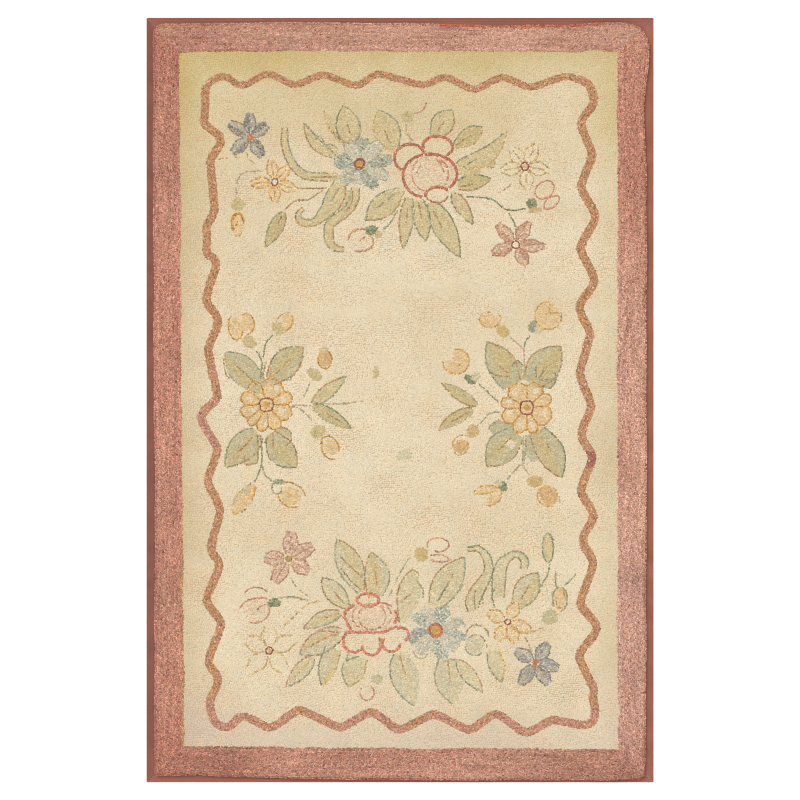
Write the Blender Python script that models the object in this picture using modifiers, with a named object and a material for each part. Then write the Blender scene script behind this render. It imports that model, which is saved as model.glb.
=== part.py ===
"""A hooked wool rug, four by six feet, lying flat but for a few soft ripples, with cotton tape under its edges.

Metres. The origin is under the middle of the rug. X runs across it, Y along it, and its loops face +Z.
"""

import math
from typing import NamedTuple

import bmesh
import bpy

# Overall size, to the outer edges of the tape
WIDTH = 1.216
LENGTH = 1.834

# The hooked field: ground cloth and loops in one
FIELD_THICKNESS = 0.0085
RIM_BEVEL = 0.0028
RIM_BEVEL_STEPS = 2

# The tape sewn under each edge
TAPE_WIDTH = 0.048
TAPE_THICKNESS = 0.0012
TAPE_BEVEL = 0.0003
SEAT_GAP = 0.0003

# The bevels round only what turns more sharply than this
SHARP_DEGREES = 50


class EdgeReading(NamedTuple):
    """How far the field's edge lies inside the tape's outer edge, at a share of that side."""

    share: float
    inset: float


# The shares run from the left, and from the bottom
EDGES = {
    "left": (EdgeReading(0.0, 0.0185), EdgeReading(0.2, 0.0205), EdgeReading(0.42, 0.0205), EdgeReading(0.55, 0.0180),
             EdgeReading(1.0, 0.0160)),
    "right": (EdgeReading(0.0, 0.0200), EdgeReading(0.3, 0.0175), EdgeReading(0.8, 0.0172), EdgeReading(0.885, 0.0225),
              EdgeReading(0.955, 0.0110), EdgeReading(1.0, 0.0110)),
    "bottom": (EdgeReading(0.0, 0.0165), EdgeReading(0.1, 0.0180), EdgeReading(0.2, 0.0120), EdgeReading(0.33, 0.0095),
               EdgeReading(0.5, 0.0062), EdgeReading(0.9, 0.0055), EdgeReading(1.0, 0.0080)),
    "top": (EdgeReading(0.0, 0.0160), EdgeReading(0.25, 0.0120), EdgeReading(0.5, 0.0140), EdgeReading(0.66, 0.0185),
            EdgeReading(0.82, 0.0178), EdgeReading(0.93, 0.0125), EdgeReading(1.0, 0.0140)),
}

# Each side strays from its readings by the sum of a long and a short wave
WANDER = 0.0007
WANDER_WAVES = (3.5, 8.0)
WANDER_PHASES = {"left": 0.0, "right": 1.9, "bottom": 3.1, "top": 4.4}


class Corner(NamedTuple):
    """A rounded corner of the field, by the signs of its place."""

    side_x: int
    side_y: int
    radius: float


CORNERS = (Corner(-1, -1, 0.010), Corner(1, -1, 0.014), Corner(-1, 1, 0.026), Corner(1, 1, 0.056))


class Ripple(NamedTuple):
    """A soft ridge, with its middle, the direction it runs in, its half sizes and its height."""

    x: float
    y: float
    degrees: float
    half_length: float
    half_width: float
    height: float


RIPPLES = (
    Ripple(0.335, -0.695, 28, 0.190, 0.055, 0.0052),
    Ripple(0.475, -0.615, 33, 0.110, 0.050, 0.0040),
    Ripple(0.420, -0.810, 24, 0.140, 0.045, 0.0022),
    Ripple(0.050, -0.815, 22, 0.120, 0.045, 0.0030),
    Ripple(0.215, -0.850, 20, 0.110, 0.045, 0.0030),
    Ripple(-0.190, -0.845, -14, 0.110, 0.045, 0.0018),
    Ripple(0.555, -0.312, 4, 0.120, 0.055, 0.0024),
    Ripple(0.560, -0.444, -5, 0.110, 0.050, 0.0026),
    Ripple(0.560, -0.024, 0, 0.150, 0.060, 0.0018),
    Ripple(0.560, 0.144, 3, 0.130, 0.060, 0.0016),
    Ripple(-0.560, -0.024, 0, 0.150, 0.060, 0.0024),
    Ripple(-0.560, 0.144, -3, 0.140, 0.060, 0.0022),
    Ripple(-0.560, -0.240, 5, 0.110, 0.060, 0.0018),
    Ripple(-0.565, -0.516, -4, 0.110, 0.055, 0.0020),
    Ripple(-0.560, -0.720, 4, 0.110, 0.055, 0.0016),
)
# The ridges die away towards the field's edge, between these distances from the tape's outer edge
RIPPLE_FADE_START = 0.015
RIPPLE_FADE_END = 0.060

# Where the field comes down from the tape to the floor, measured from the tape's outer edge
CLIMB_TOP = TAPE_WIDTH + 0.003
CLIMB_FOOT = TAPE_WIDTH + 0.018
CLIMB_HEIGHT = TAPE_THICKNESS + SEAT_GAP

# The field's grid follows its edge this far in from it, and is straight beyond
EDGE_REACH = 0.028
# Grid lines near each edge, measured from the tape's outer edge
RIM_LINES = (0.0, 0.014, 0.032, CLIMB_TOP, CLIMB_FOOT)
# Stretches of even grid lines between the rims, closer where the ripples are: where each ends, and its steps
STRETCHES_ACROSS = ((0.790, 12), (WIDTH - CLIMB_FOOT, 16))
STRETCHES_ALONG = ((0.470, 19), (LENGTH - CLIMB_FOOT, 28))

# Colours, linear
CREAM = (0.74, 0.61, 0.41)
RED_BROWN = (0.30, 0.115, 0.080)
WOOL_ROUGHNESS = 0.95
COTTON_ROUGHNESS = 0.90


def clear_scene():
    for obj in list(bpy.data.objects):
        bpy.data.objects.remove(obj)


def new_collection(name):
    collection = bpy.data.collections.new(name)
    bpy.context.scene.collection.children.link(collection)
    return collection


def cloth_material(name, colour, roughness):
    material = bpy.data.materials.new(name)
    material.use_nodes = True
    shader = material.node_tree.nodes["Principled BSDF"]
    shader.inputs["Base Color"].default_value = (*colour, 1.0)
    shader.inputs["Roughness"].default_value = roughness
    shader.inputs["Metallic"].default_value = 0.0
    return material


def ramp(low, high, value):
    """0 at low, 1 at high, and straight between."""
    return min(1.0, max(0.0, (value - low) / (high - low)))


def soft_ramp(low, high, value):
    t = ramp(low, high, value)
    return t * t * (3 - 2 * t)


def from_outer_edge(x, y):
    return min(WIDTH / 2 - abs(x), LENGTH / 2 - abs(y))


def edge_inset(side, share):
    """The inset of the field's edge at this share of a side, with the small wander of a hooked edge."""
    wander = sum(math.sin(2 * math.pi * waves * share + WANDER_PHASES[side]) for waves in WANDER_WAVES)
    readings = EDGES[side]
    for before, after in zip(readings, readings[1:]):
        if share <= after.share:
            step = soft_ramp(before.share, after.share, share)
            return before.inset + (after.inset - before.inset) * step + WANDER * wander
    return readings[-1].inset + WANDER * wander


def ripple_height(x, y):
    """The lift off the floor: a rounded ridge for each ripple."""
    height = 0.0
    for ripple in RIPPLES:
        turn = math.radians(ripple.degrees)
        dx = x - ripple.x
        dy = y - ripple.y
        along = (dx * math.cos(turn) + dy * math.sin(turn)) / ripple.half_length
        across = (dy * math.cos(turn) - dx * math.sin(turn)) / ripple.half_width
        if abs(along) < 1 and abs(across) < 1:
            height += ripple.height * (1 - along**2) ** 2 * (1 - across**2) ** 2
    return height * soft_ramp(RIPPLE_FADE_START, RIPPLE_FADE_END, from_outer_edge(x, y))


def climb_height(x, y):
    """The lift of the field where it lies on the tape."""
    return CLIMB_HEIGHT * ramp(CLIMB_FOOT, CLIMB_TOP, from_outer_edge(x, y))


def grid_lines(side_length, stretches):
    """Distances of the grid lines from one end of a side: gathered at both rims, even in each stretch."""
    lines = list(RIM_LINES)
    for end, steps in stretches:
        start = lines[-1]
        lines += [start + (end - start) * (i + 1) / steps for i in range(steps)]
    return lines + [side_length - line for line in reversed(RIM_LINES[:-1])]


def round_corner(x, y, insets_x, insets_y):
    """Draws points near a square corner in to its arc, as a square is mapped to a disc."""
    for corner in CORNERS:
        centre_x = corner.side_x * (WIDTH / 2 - insets_x[corner.side_x] - corner.radius)
        centre_y = corner.side_y * (LENGTH / 2 - insets_y[corner.side_y] - corner.radius)
        out_x = (x - centre_x) * corner.side_x
        out_y = (y - centre_y) * corner.side_y
        if out_x > 0 and out_y > 0:
            kept = max(out_x, out_y) / math.hypot(out_x, out_y)
            return centre_x + corner.side_x * out_x * kept, centre_y + corner.side_y * out_y * kept
    return x, y


def onto_outline(x, y):
    """Moves a point of the full rectangle in, so that the rim follows the field's own outline."""
    share_x = ramp(-WIDTH / 2, WIDTH / 2, x)
    share_y = ramp(-LENGTH / 2, LENGTH / 2, y)
    insets_x = {-1: edge_inset("left", share_y), 1: edge_inset("right", share_y)}
    insets_y = {-1: edge_inset("bottom", share_x), 1: edge_inset("top", share_x)}
    moved_x, moved_y = x, y
    for side, inset in insets_x.items():
        moved_x -= side * inset * (1 - ramp(0, inset + EDGE_REACH, WIDTH / 2 - side * x))
    for side, inset in insets_y.items():
        moved_y -= side * inset * (1 - ramp(0, inset + EDGE_REACH, LENGTH / 2 - side * y))
    return round_corner(moved_x, moved_y, insets_x, insets_y)


def sheet_object(name, collection, material, place, columns, rows, thickness):
    """A sheet of columns by rows faces, each point where place(column, row) says, thickened upwards."""
    shape = bmesh.new()
    bmesh.ops.create_grid(shape, x_segments=columns, y_segments=rows, size=0.5)
    for vertex in shape.verts:
        vertex.co = place(round((vertex.co.x + 0.5) * columns), round((vertex.co.y + 0.5) * rows))
    mesh = bpy.data.meshes.new(name)
    shape.to_mesh(mesh)
    shape.free()
    mesh.shade_smooth()
    mesh.materials.append(material)
    sheet = bpy.data.objects.new(name, mesh)
    collection.objects.link(sheet)
    solidify = sheet.modifiers.new("thickness", "SOLIDIFY")
    solidify.thickness = thickness
    solidify.offset = 1.0
    return sheet


def round_rim(sheet, width, steps):
    bevel = sheet.modifiers.new("rounded rim", "BEVEL")
    bevel.width = width
    bevel.segments = steps
    bevel.limit_method = "ANGLE"
    bevel.angle_limit = math.radians(SHARP_DEGREES)


def build_rug(collection, material):
    """The hooked field, on the floor but for its ripples, and up on the tape at its rim."""
    across = grid_lines(WIDTH, STRETCHES_ACROSS)
    along = grid_lines(LENGTH, STRETCHES_ALONG)

    def place(column, row):
        flat_x = across[column] - WIDTH / 2
        flat_y = along[row] - LENGTH / 2
        x, y = onto_outline(flat_x, flat_y)
        return x, y, climb_height(flat_x, flat_y) + ripple_height(x, y)

    rug = sheet_object("rug", collection, material, place, len(across) - 1, len(along) - 1, FIELD_THICKNESS)
    round_rim(rug, RIM_BEVEL, RIM_BEVEL_STEPS)


def build_tape(name, collection, material, length, from_middle, turn):
    """One length of tape with mitred ends, its outer edge from_middle away from the rug's middle."""
    half_length = length / 2 - SEAT_GAP / math.sqrt(2)

    def place(column, row):
        inward = TAPE_WIDTH * row
        return (2 * column - 1) * (half_length - inward), inward, 0.0

    tape = sheet_object(name, collection, material, place, 1, 1, TAPE_THICKNESS)
    round_rim(tape, TAPE_BEVEL, 1)
    tape.rotation_euler = (0, 0, turn)
    tape.location = (from_middle * math.sin(turn), -from_middle * math.cos(turn), 0)


def main():
    clear_scene()
    collection = new_collection("hooked_rug")
    wool = cloth_material("wool_loops", CREAM, WOOL_ROUGHNESS)
    cotton = cloth_material("cotton_tape", RED_BROWN, COTTON_ROUGHNESS)
    build_rug(collection, wool)
    build_tape("binding_bottom", collection, cotton, WIDTH, LENGTH / 2, 0)
    build_tape("binding_right", collection, cotton, LENGTH, WIDTH / 2, math.pi / 2)
    build_tape("binding_top", collection, cotton, WIDTH, LENGTH / 2, math.pi)
    build_tape("binding_left", collection, cotton, LENGTH, WIDTH / 2, -math.pi / 2)


main()
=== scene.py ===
"""The looks of the hooked rug: its wool loops, its ground cloth and its tape, seen from straight above.

Every loop of the pile is a small hump of its own. A line of the drawing is a row of loops laid along
it, and the ground between the lines is filled with rows that keep clear of them, as a rug is hooked.
"""

import math

import bpy
import numpy as np
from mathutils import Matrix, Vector
from mathutils.bvhtree import BVHTree
from mathutils.kdtree import KDTree


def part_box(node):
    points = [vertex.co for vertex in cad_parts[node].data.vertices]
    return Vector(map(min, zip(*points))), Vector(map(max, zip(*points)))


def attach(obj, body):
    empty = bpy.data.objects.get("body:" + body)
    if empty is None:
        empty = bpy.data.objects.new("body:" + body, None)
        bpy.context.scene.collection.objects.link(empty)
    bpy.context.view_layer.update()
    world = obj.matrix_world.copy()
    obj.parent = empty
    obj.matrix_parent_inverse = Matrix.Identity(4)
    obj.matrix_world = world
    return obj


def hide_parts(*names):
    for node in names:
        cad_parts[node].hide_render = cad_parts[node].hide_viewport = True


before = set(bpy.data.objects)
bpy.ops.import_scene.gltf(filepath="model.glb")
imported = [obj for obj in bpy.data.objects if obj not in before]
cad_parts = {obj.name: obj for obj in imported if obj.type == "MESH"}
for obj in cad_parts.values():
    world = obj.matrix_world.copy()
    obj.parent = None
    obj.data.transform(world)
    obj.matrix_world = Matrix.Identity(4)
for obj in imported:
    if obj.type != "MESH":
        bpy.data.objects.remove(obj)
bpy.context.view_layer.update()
random = np.random.default_rng(1907)
weather = np.random.default_rng(58)

# Sizes, in metres. The drawing is on squares of SQUARE, counted right and down, with MIDDLE, MIDDLE in
# the rug's middle.
SQUARE = 0.0023955
MIDDLE = 400
ROW = 0.0034
STEP = 0.0046
LOOP_HEIGHT = 0.0020
BED_DEPTH = 0.0020
CLOTH_THICKNESS = 0.0013
RIM_RADIUS = 0.0024
RUN_IN = 0.007
JITTER = 0.0008
TAPE_WIDTH = 0.048
FLOOR_Z = -0.0004
PICTURE_SIDE = 1.92
LENS, SENSOR = 85.0, 36.0
PIECES = 6
FIELD = 4
# The rim's points are this far apart, and the first loops stand this far inside it.
RIM_STEP = 0.001
RIM_CLEARANCE = 0.0011
# Ground loops nearer than this to a line's loops make room for it.
LINE_ROOM = 0.0040
# The blocks of rows reach a little past the rug, and what lies outside is dropped.
FIELD_REACH = (0.60, 0.90)
BORDER_REACH = (0.606, 0.915)
GRID_REACH = (0.608, 0.920)
FLOOR_REACH = 7
# The plain tones of the bed under the loops and of the ground cloth, as sRGB.
# The bed's tone is partly the foundation's own tan, and darker than the cloth as painted shade.
BED_TONE_WITH_PAINTED_SHADE = (196, 168, 132)
CLOTH_TONE = (206, 184, 148)
PAPER = 0.93
# The light: the sky's strength, and the sun's strength, size and direction.
SKY = 0.84
SUN = 1.75
SUN_DEGREES = 40
TOWARDS_SUN = (-0.50, 0.62, 0.82)
# A pixel filter narrower than the usual one keeps the grain as sharp as the photo's.
PIXEL_FILTER = 1.0

# The yarns, as sRGB, in the tones that they have in daylight.
YARNS = {
    "cream": (229, 211, 179),
    "rose": (196, 139, 117),
    "rose_deep": (172, 112, 92),
    "rose_red": (150, 84, 70),
    "ochre": (188, 142, 104),
    "wave": (193, 145, 105),
    "wave_pink": (197, 144, 123),
    "wave_red": (172, 112, 98),
    "coral": (191, 123, 95),
    "coral_low": (204, 138, 112),
    "coral_soft": (200, 148, 120),
    "coral_centre": (190, 128, 92),
    "blush": (226, 202, 170),
    "orange": (203, 152, 80),
    "amber": (211, 167, 106),
    "peach": (224, 194, 147),
    "peach_pale": (227, 202, 160),
    "peach_deep": (214, 176, 126),
    "yellow": (204, 160, 92),
    "gold": (205, 178, 124),
    "olive": (211, 192, 147),
    "olive_deep": (202, 183, 135),
    "olive_low": (214, 198, 160),
    "sage": (199, 186, 148),
    "sage_deep": (192, 183, 146),
    "sage_pale": (210, 197, 163),
    "teal": (163, 161, 131),
    "brown": (180, 151, 111),
    "forest": (142, 146, 113),
    "stem": (188, 174, 140),
    "blue": (177, 176, 154),
    "blue_deep": (172, 172, 156),
    "blue_low": (187, 187, 168),
    "blue_mid": (192, 186, 160),
    "blue_pale": (206, 197, 172),
    "violet": (153, 145, 132),
    "violet_mid": (172, 163, 150),
    "violet_pale": (190, 180, 160),
    "mauve": (160, 98, 76),
    "mauve_line": (190, 144, 118),
    "mauve_star": (200, 158, 130),
    "mauve_pale": (212, 182, 152),
    "red": (156, 104, 82),
    "pink": (214, 182, 156),
    "pink_line": (196, 152, 126),
    "rust": (200, 158, 112),
    "white": (232, 222, 198),
    "smudge": (214, 202, 166),
}
# How unevenly a filled shape's yarn is dyed, from 0 to 1, where that isn't the usual amount.
USUAL_ROUGH = 0.3
ROUGH = {
    "cream": 0.0,
    "blue": 1.0,
    "blue_deep": 1.0,
    "blue_low": 1.0,
    "blue_mid": 0.7,
    "blue_pale": 0.5,
    "violet": 1.0,
    "violet_mid": 0.9,
    "violet_pale": 0.7,
    "mauve_star": 0.8,
    "mauve_pale": 0.8,
    "pink": 0.8,
    "forest": 0.8,
    "teal": 0.8,
}
# The lit pile looks paler than its yarns by these factors, one each for red, green and blue.
GAIN = np.array([1.11, 1.09, 1.075])

drawn_lines = []
drawn_areas = []


def pairs(text):
    """The points that a text such as "10,20 30,40" gives."""
    return np.array([[float(part) for part in pair.split(",")] for pair in text.split()])


def metres(points):
    """From the drawing's squares to metres on the rug."""
    p = np.asarray(points, float)
    return np.stack([(p[:, 0] - MIDDLE) * SQUARE, (MIDDLE - p[:, 1]) * SQUARE], 1)


def line(yarn, rows, points, closed=False, gaps=0.0):
    """A line of loops, some rows wide, with a share of its loops left out."""
    points = pairs(points) if isinstance(points, str) else points
    drawn_lines.append((yarn, rows, metres(points), closed, gaps))


def area(yarn, points):
    """A filled shape."""
    points = pairs(points) if isinstance(points, str) else points
    drawn_areas.append((yarn, metres(points)))


def smooth(points, closed=False, steps=6):
    """A curve through the points, as a finer polyline."""
    p = np.asarray(points, float)
    if len(p) < 3 and not closed:
        return p
    if closed:
        q = np.concatenate([p[-1:], p, p[:2]])
    else:
        q = np.concatenate([2 * p[:1] - p[1:2], p, 2 * p[-1:] - p[-2:-1]])
    t = np.linspace(0, 1, steps, endpoint=False)[:, None]
    parts = []
    for a, b, c, d in zip(q[:-3], q[1:-2], q[2:-1], q[3:]):
        bend = (2 * a - 5 * b + 4 * c - d) * t**2
        twist = (3 * b - a - 3 * c + d) * t**3
        parts.append(0.5 * (2 * b + (c - a) * t + bend + twist))
    return np.concatenate([*parts, q[-2:-1]])


def arc(x, y, wide, tall, start, end, turn=0.0, count=9):
    """Part of an ellipse about x, y. Angles run from the right, anticlockwise on the page."""
    a = np.radians(np.linspace(start, end, count))
    c, s = math.cos(math.radians(turn)), math.sin(math.radians(turn))
    u, v = wide / 2 * np.cos(a), tall / 2 * np.sin(a)
    return np.stack([x + u * c - v * s, y - u * s - v * c], 1)


def spot(yarn, x, y, wide, tall, turn=0.0):
    area(yarn, arc(x, y, wide, tall, 0, 342, turn, 20))


def ring(yarn, rows, x, y, wide, tall=None, turn=0.0, gaps=0.0):
    line(yarn, rows, arc(x, y, wide, tall or wide, 0, 324, turn, 10), closed=True, gaps=gaps)


def curve(yarn, rows, x, y, wide, tall, start, end, turn=0.0, gaps=0.0):
    line(yarn, rows, arc(x, y, wide, tall, start, end, turn), gaps=gaps)


def leaf(
    foot, tip, wide, left, right, fill,
    bend=0.0, belly=0.42, blunt=0.25, shade=None, vein=None, loose=0.09,
):
    """A leaf from its foot to its tip, with its left and right as seen by one who walks that way.

    Bend moves its middle to the left. Belly is where it is widest and blunt how wide its foot is.
    Shade is (yarn, from, to) for a band across it, with -1 at its right edge and 1 at its left one.
    Vein is (yarn, start, end, place) with its start and end as shares of the length.
    """
    foot, tip = np.array(foot, float), np.array(tip, float)
    way = tip - foot
    side = np.array([way[1], -way[0]]) / math.hypot(*way)
    t = np.array([0.0, 0.12, 0.28, 0.45, 0.62, 0.78, 0.9, 1.0])
    power = math.log(0.5) / math.log(belly)
    swell = np.sin(math.pi * t**power) ** 0.85 * (1 - blunt * (1 - t) ** 2) + blunt * (1 - t) ** 2
    middle = foot + way * t[:, None] + side * (bend * np.sin(math.pi * t))[:, None]
    half = side * (swell * wide / 2)[:, None]
    if fill:
        area(fill, np.concatenate([smooth(middle + half), smooth(middle - half)[::-1]]))
    if shade:
        yarn, low, high = shade
        area(yarn, np.concatenate([smooth(middle + high * half), smooth(middle + low * half)[::-1]]))
    if left:
        line(left, 1, middle + half, gaps=loose)
    if right:
        line(right, 1, middle - half, gaps=loose)
    if vein:
        yarn, start, end, place = vein
        a = foot + way * start + side * (bend * math.sin(math.pi * start) + place)
        b = foot + way * end + side * (bend * math.sin(math.pi * end) + place)
        line(yarn, 1, np.array([a, (a + b) / 2, b]), gaps=0.15)


# The share of its loops that a curled leaf's outline leaves out.
SCROLL_GAPS = 0.05


def scroll(stations, left, right, fill):
    """A curled leaf: a ribbon through stations of (x, y, width), with a yarn for each side."""
    s = np.array(stations, float)
    path = smooth(s, steps=4)
    way = np.gradient(path[:, :2], axis=0)
    way /= np.linalg.norm(way, axis=1)[:, None]
    half = np.stack([way[:, 1], -way[:, 0]], 1) * path[:, 2:3] / 2
    one, other = path[:, :2] + half, path[:, :2] - half
    area(fill, np.concatenate([one, other[::-1]]))
    line(left, 1, one[::3], gaps=SCROLL_GAPS)
    line(right, 1, other[::3], gaps=SCROLL_GAPS)


def petal(x, y, angle, start, length, width, point=0.12):
    """The two sides of a petal from its foot to its tip, and point is how wide the tip is."""
    c, s = math.cos(math.radians(angle)), math.sin(math.radians(angle))
    shape = np.array([(0.0, 0.36), (0.28, 0.88), (0.55, 1.0), (0.8, 0.40 + 0.60 * point), (1.0, point)])
    r = start + shape[:, 0] * (length - start)
    w = shape[:, 1] * width / 2
    left = np.stack([x + r * c - w * s, y - r * s - w * c], 1)
    right = np.stack([x + r * c + w * s, y - r * s + w * c], 1)
    return left, right


def star(x, y, petals, width, outline, fill, shade=None, start=4.5, vein=None, point=0.12, loose=0.08):
    """A flower of petals, each given as (angle, length)."""
    for angle, length in petals:
        left, right = petal(x, y, angle, start, length, width, point)
        area(fill, np.concatenate([left, right[::-1]]))
        if shade:
            area(shade, np.concatenate([left, ((left + right) / 2)[::-1]]))
        if outline:
            line(outline, 1, left, gaps=loose)
            line(outline, 1, right, gaps=loose)
        if vein:
            line(vein, 1, ((left + right) / 2)[:-1], gaps=0.15)


def blossom(x, y, petals, start, outline=None):
    """A flower of full petals with no outlines of their own, each (angle, length, width, yarn)."""
    for angle, length, width, yarn in petals:
        left, right = petal(x, y, angle, start, length, width, 0.60)
        area(yarn, np.concatenate([smooth(left), smooth(right)[::-1]]))
        if outline and yarn.endswith("pale"):
            line(outline, 1, np.concatenate([left[1:], right[:0:-1]]), gaps=0.4)


def daisy(x, y, notches, reach, outline, fill):
    """A round flower whose lobes meet in notches at the given angles, with a spoke to each."""
    inner = reach * 0.84
    points = []
    for one, other in zip(notches, [*notches[1:], notches[0] - 360]):
        wide = (one - other) / 50
        crown = reach * (1 + 0.02 * wide)
        for share, out in ((0.0, inner), (0.25, reach * 0.98), (0.5, crown), (0.75, reach * 0.98)):
            a = math.radians(one + (other - one) * share)
            points.append((x + out * math.cos(a), y - out * math.sin(a)))
    points = np.array(points)
    area(fill, points)
    line(outline, 1, points, closed=True, gaps=0.05)
    for notch in notches:
        c, s = math.cos(math.radians(notch)), -math.sin(math.radians(notch))
        line(
            outline, 1, np.array([(x + r * c, y + r * s) for r in (inner, inner / 2 + 3, 8)]),
            gaps=0.1,
        )
    square = 5.3
    corners = np.array([(-1, -1), (1, -1), (1, 1), (-1, 1)]) * square + (x, y)
    line("mauve", 1, corners, closed=True)
    spot("yellow", x, y, 7, 7)


def crests(text, along, across=0.0):
    """The wave's turning points, each drawn out into a short flat crest."""
    reach = np.array([along, across])
    return np.concatenate([[p - reach, p + reach] for p in pairs(text)])


def draw_wave():
    """The wavy line inside the border, through its turning points."""
    top = crests(
        "223,77.5 242,84 268,75 295,83.5 323,76 355.6,84 380,75 422,84 445,78.5 474,88 502,78.5 531,86",
        5,
    )
    right = crests(
        "593,100 582.5,124 591,155 582.5,186 594,217 582,248 593,280 581,308 589,335 581,373 590,406 "
        "582.5,434 591,458 582.5,490 592,516 584,540 592,564 582,602 595,628 581,657 593,692",
        0,
        5,
    )
    bottom = crests(
        "555,721 527,731 496,716 469,728 434,716 400,728 371,714 340,726 300,712 269.5,726 244,718",
        -5,
    )
    left = crests(
        "217,681 210,661 219.5,625 208,599 218,566 212,547 219,511 209,480 216,451 203,418 216,394 "
        "209,351 217,322 207.5,298 215,265 207,248 207,231 214,207 211,164 219,141 205,119",
        0,
        -5,
    )
    corner_left, corner_right = pairs("205,96 206,85"), pairs("562,77 576,78 588,84")
    low_right, low_left = pairs("595,712 592,722 582,725"), pairs("228,727 215,722 210,702")
    line("wave", 5, np.concatenate([corner_left[1:], top, corner_right[:2]]))
    line(
        "wave", 6,
        np.concatenate([corner_right[1:], right, low_right, bottom, low_left, left, corner_left]),
    )


def draw_blue_flower_at_top():
    x, y = 359.6, 163.8
    petals = (
        (80, 27, 15, "blue"),
        (120, 25, 14, "blue_pale"),
        (172, 26, 17, "blue"),
        (228, 27, 17, "blue_mid"),
        (268, 20, 12, "blue_pale"),
        (304, 29, 16, "blue"),
        (335, 31, 13, "blue_pale"),
        (9, 33, 15, "blue"),
        (45, 29, 15, "blue_pale"),
    )
    blossom(x, y, petals, 6.5, "blue")
    ring("red", 2, x, y, 9.5)
    spot("yellow", x, y, 6, 6)


def draw_rose_at_top():
    cup = [
        arc(430, 174, 54, 40, 100, -45),
        arc(438, 197, 26, 20, 40, 180),
        arc(427, 176, 48, 43, 260, 100),
    ]
    area("blush", np.concatenate(cup))
    curve("coral", 2, 430, 174, 54, 40, 100, -45)
    curve("coral", 2, 427, 176, 48, 43, 100, 260)
    curve("coral", 2, 438, 197, 26, 20, 180, 40)
    curve("coral", 1, 437, 194, 22, 17, 190, 350)
    curve("coral", 2, 410, 158, 31, 28, 20, 238)
    curve("coral", 2, 437.5, 147, 30, 22, 205, -50)
    curve("coral_soft", 1, 427, 174, 30, 34, 110, 260, gaps=0.35)
    curve("coral_soft", 1, 427, 174, 19, 24, 130, 190, gaps=0.3)
    curve("coral_soft", 1, 433, 174, 31, 32, 65, -50, gaps=0.3)
    curve("coral_soft", 1, 428, 176, 32, 40, 60, 10, gaps=0.35)


def draw_leaves_at_top():
    hook = (
        (284.4, 127, 5),
        (285.5, 147, 7),
        (292, 163, 7.5),
        (303, 174, 8),
        (319, 177, 8),
        (338, 177, 8),
    )
    scroll(hook, "teal", "brown", "olive")
    line("brown", 1, "310.5,177 337.3,177")
    leaf((335, 157), (303.5, 122.5), 11, "brown", "teal", "olive", bend=5)
    area("olive", "314,139 319.5,136 323.5,146 331,145 338,152 338,160 326,155")
    line("teal", 1, "315,139 319.5,136.5 323,140 323.5,147", gaps=0.1)
    line("teal", 1, "326,145 331.5,144.5 338,149", gaps=0.25)
    leaf((344, 142), (324, 111.5), 10, "gold", None, "olive")
    line("brown", 1, "329.3,126.2 334.6,134.2 344,142.2", gaps=0.15)
    leaf((352, 143), (343.3, 105.4), 24, "forest", "teal", "olive", vein=("brown", 0.2, 0.5, 0))
    leaf(
        (395, 150), (378.2, 110.1), 26, "gold", "teal", "olive", belly=0.5,
        vein=("brown", 0.2, 0.55, 2),
    )
    leaf(
        (402, 190), (365.5, 220), 23, "brown", "teal", "olive", belly=0.5,
        vein=("teal", 0.1, 0.65, -2),
    )
    curl = (
        (340, 183, 12),
        (335, 197, 19),
        (327, 210, 14),
        (314, 222, 7),
        (302, 222, 7),
        (298, 215, 5),
        (304, 208, 3),
    )
    scroll(curl, "brown", "teal", "olive")
    tail = (
        (355.5, 188, 8),
        (353, 203, 9),
        (343, 214, 9),
        (330, 224, 9),
        (329, 238, 9),
        (334, 247.5, 6),
        (344, 249, 4),
    )
    area("olive", "352,189 340,192 339,210 334,222 346,214")
    scroll(tail, "brown", "teal", "olive")
    line("brown", 1, "352.7,189.1 352,201.2 346.7,210.5")
    line("teal", 1, "339.3,187.8 330.6,201.2")
    leaf((284, 212), (265.7, 247), 14, "brown", "teal", "olive_deep", vein=("brown", 0.1, 0.35, 0))
    leaf(
        (433, 137), (452.5, 109.8), 22, "teal", "brown", "olive", belly=0.5,
        vein=("brown", 0.25, 0.6, 0),
    )
    leaf(
        (453, 147), (483, 127), 17, "teal", "gold", "olive_deep", belly=0.55,
        vein=("brown", 0.1, 0.6, 0),
    )
    leaf((457, 165), (507, 131), 17, "teal", "gold", "olive", belly=0.4, bend=-9)
    area("olive", "459,168 478,160 494,158 493.8,166 481,167 479.8,173 472.4,175 459,175")
    line("gold", 1, "493.8,158 493.8,166.3 481.1,167 479.8,173 472.4,175 463,175", gaps=0.1)
    line("forest", 1, "477,159 468,164 462,168", gaps=0.3)
    line("orange", 1, "468,175 475,175")
    leaf(
        (458, 185), (491, 179), 15, "forest", "brown", "olive_deep", blunt=0.6,
        vein=("brown", 0.03, 0.45, -2),
    )
    leaf((453, 193), (473, 224), 13, "brown", "teal", "olive")
    leaf((431, 202), (460, 257.5), 22, "forest", "teal", "olive", vein=("brown", 0.15, 0.45, -2))
    leaf(
        (418, 200), (426, 241), 17, "forest", "teal", "olive", blunt=0.6,
        vein=("brown", 0.05, 0.45, 0),
    )
    leaf((409, 198), (403, 249), 14, "teal", "brown", "olive", blunt=0.5, vein=("brown", 0.2, 0.5, 0))
    line("brown", 1, "285.1,209.2 292,203 298.5,199.8 307.9,199.8 316,195 322.6,190.4", gaps=0.04)
    line("brown", 1, "297.1,188.4 326.6,188.4", gaps=0.15)


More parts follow.
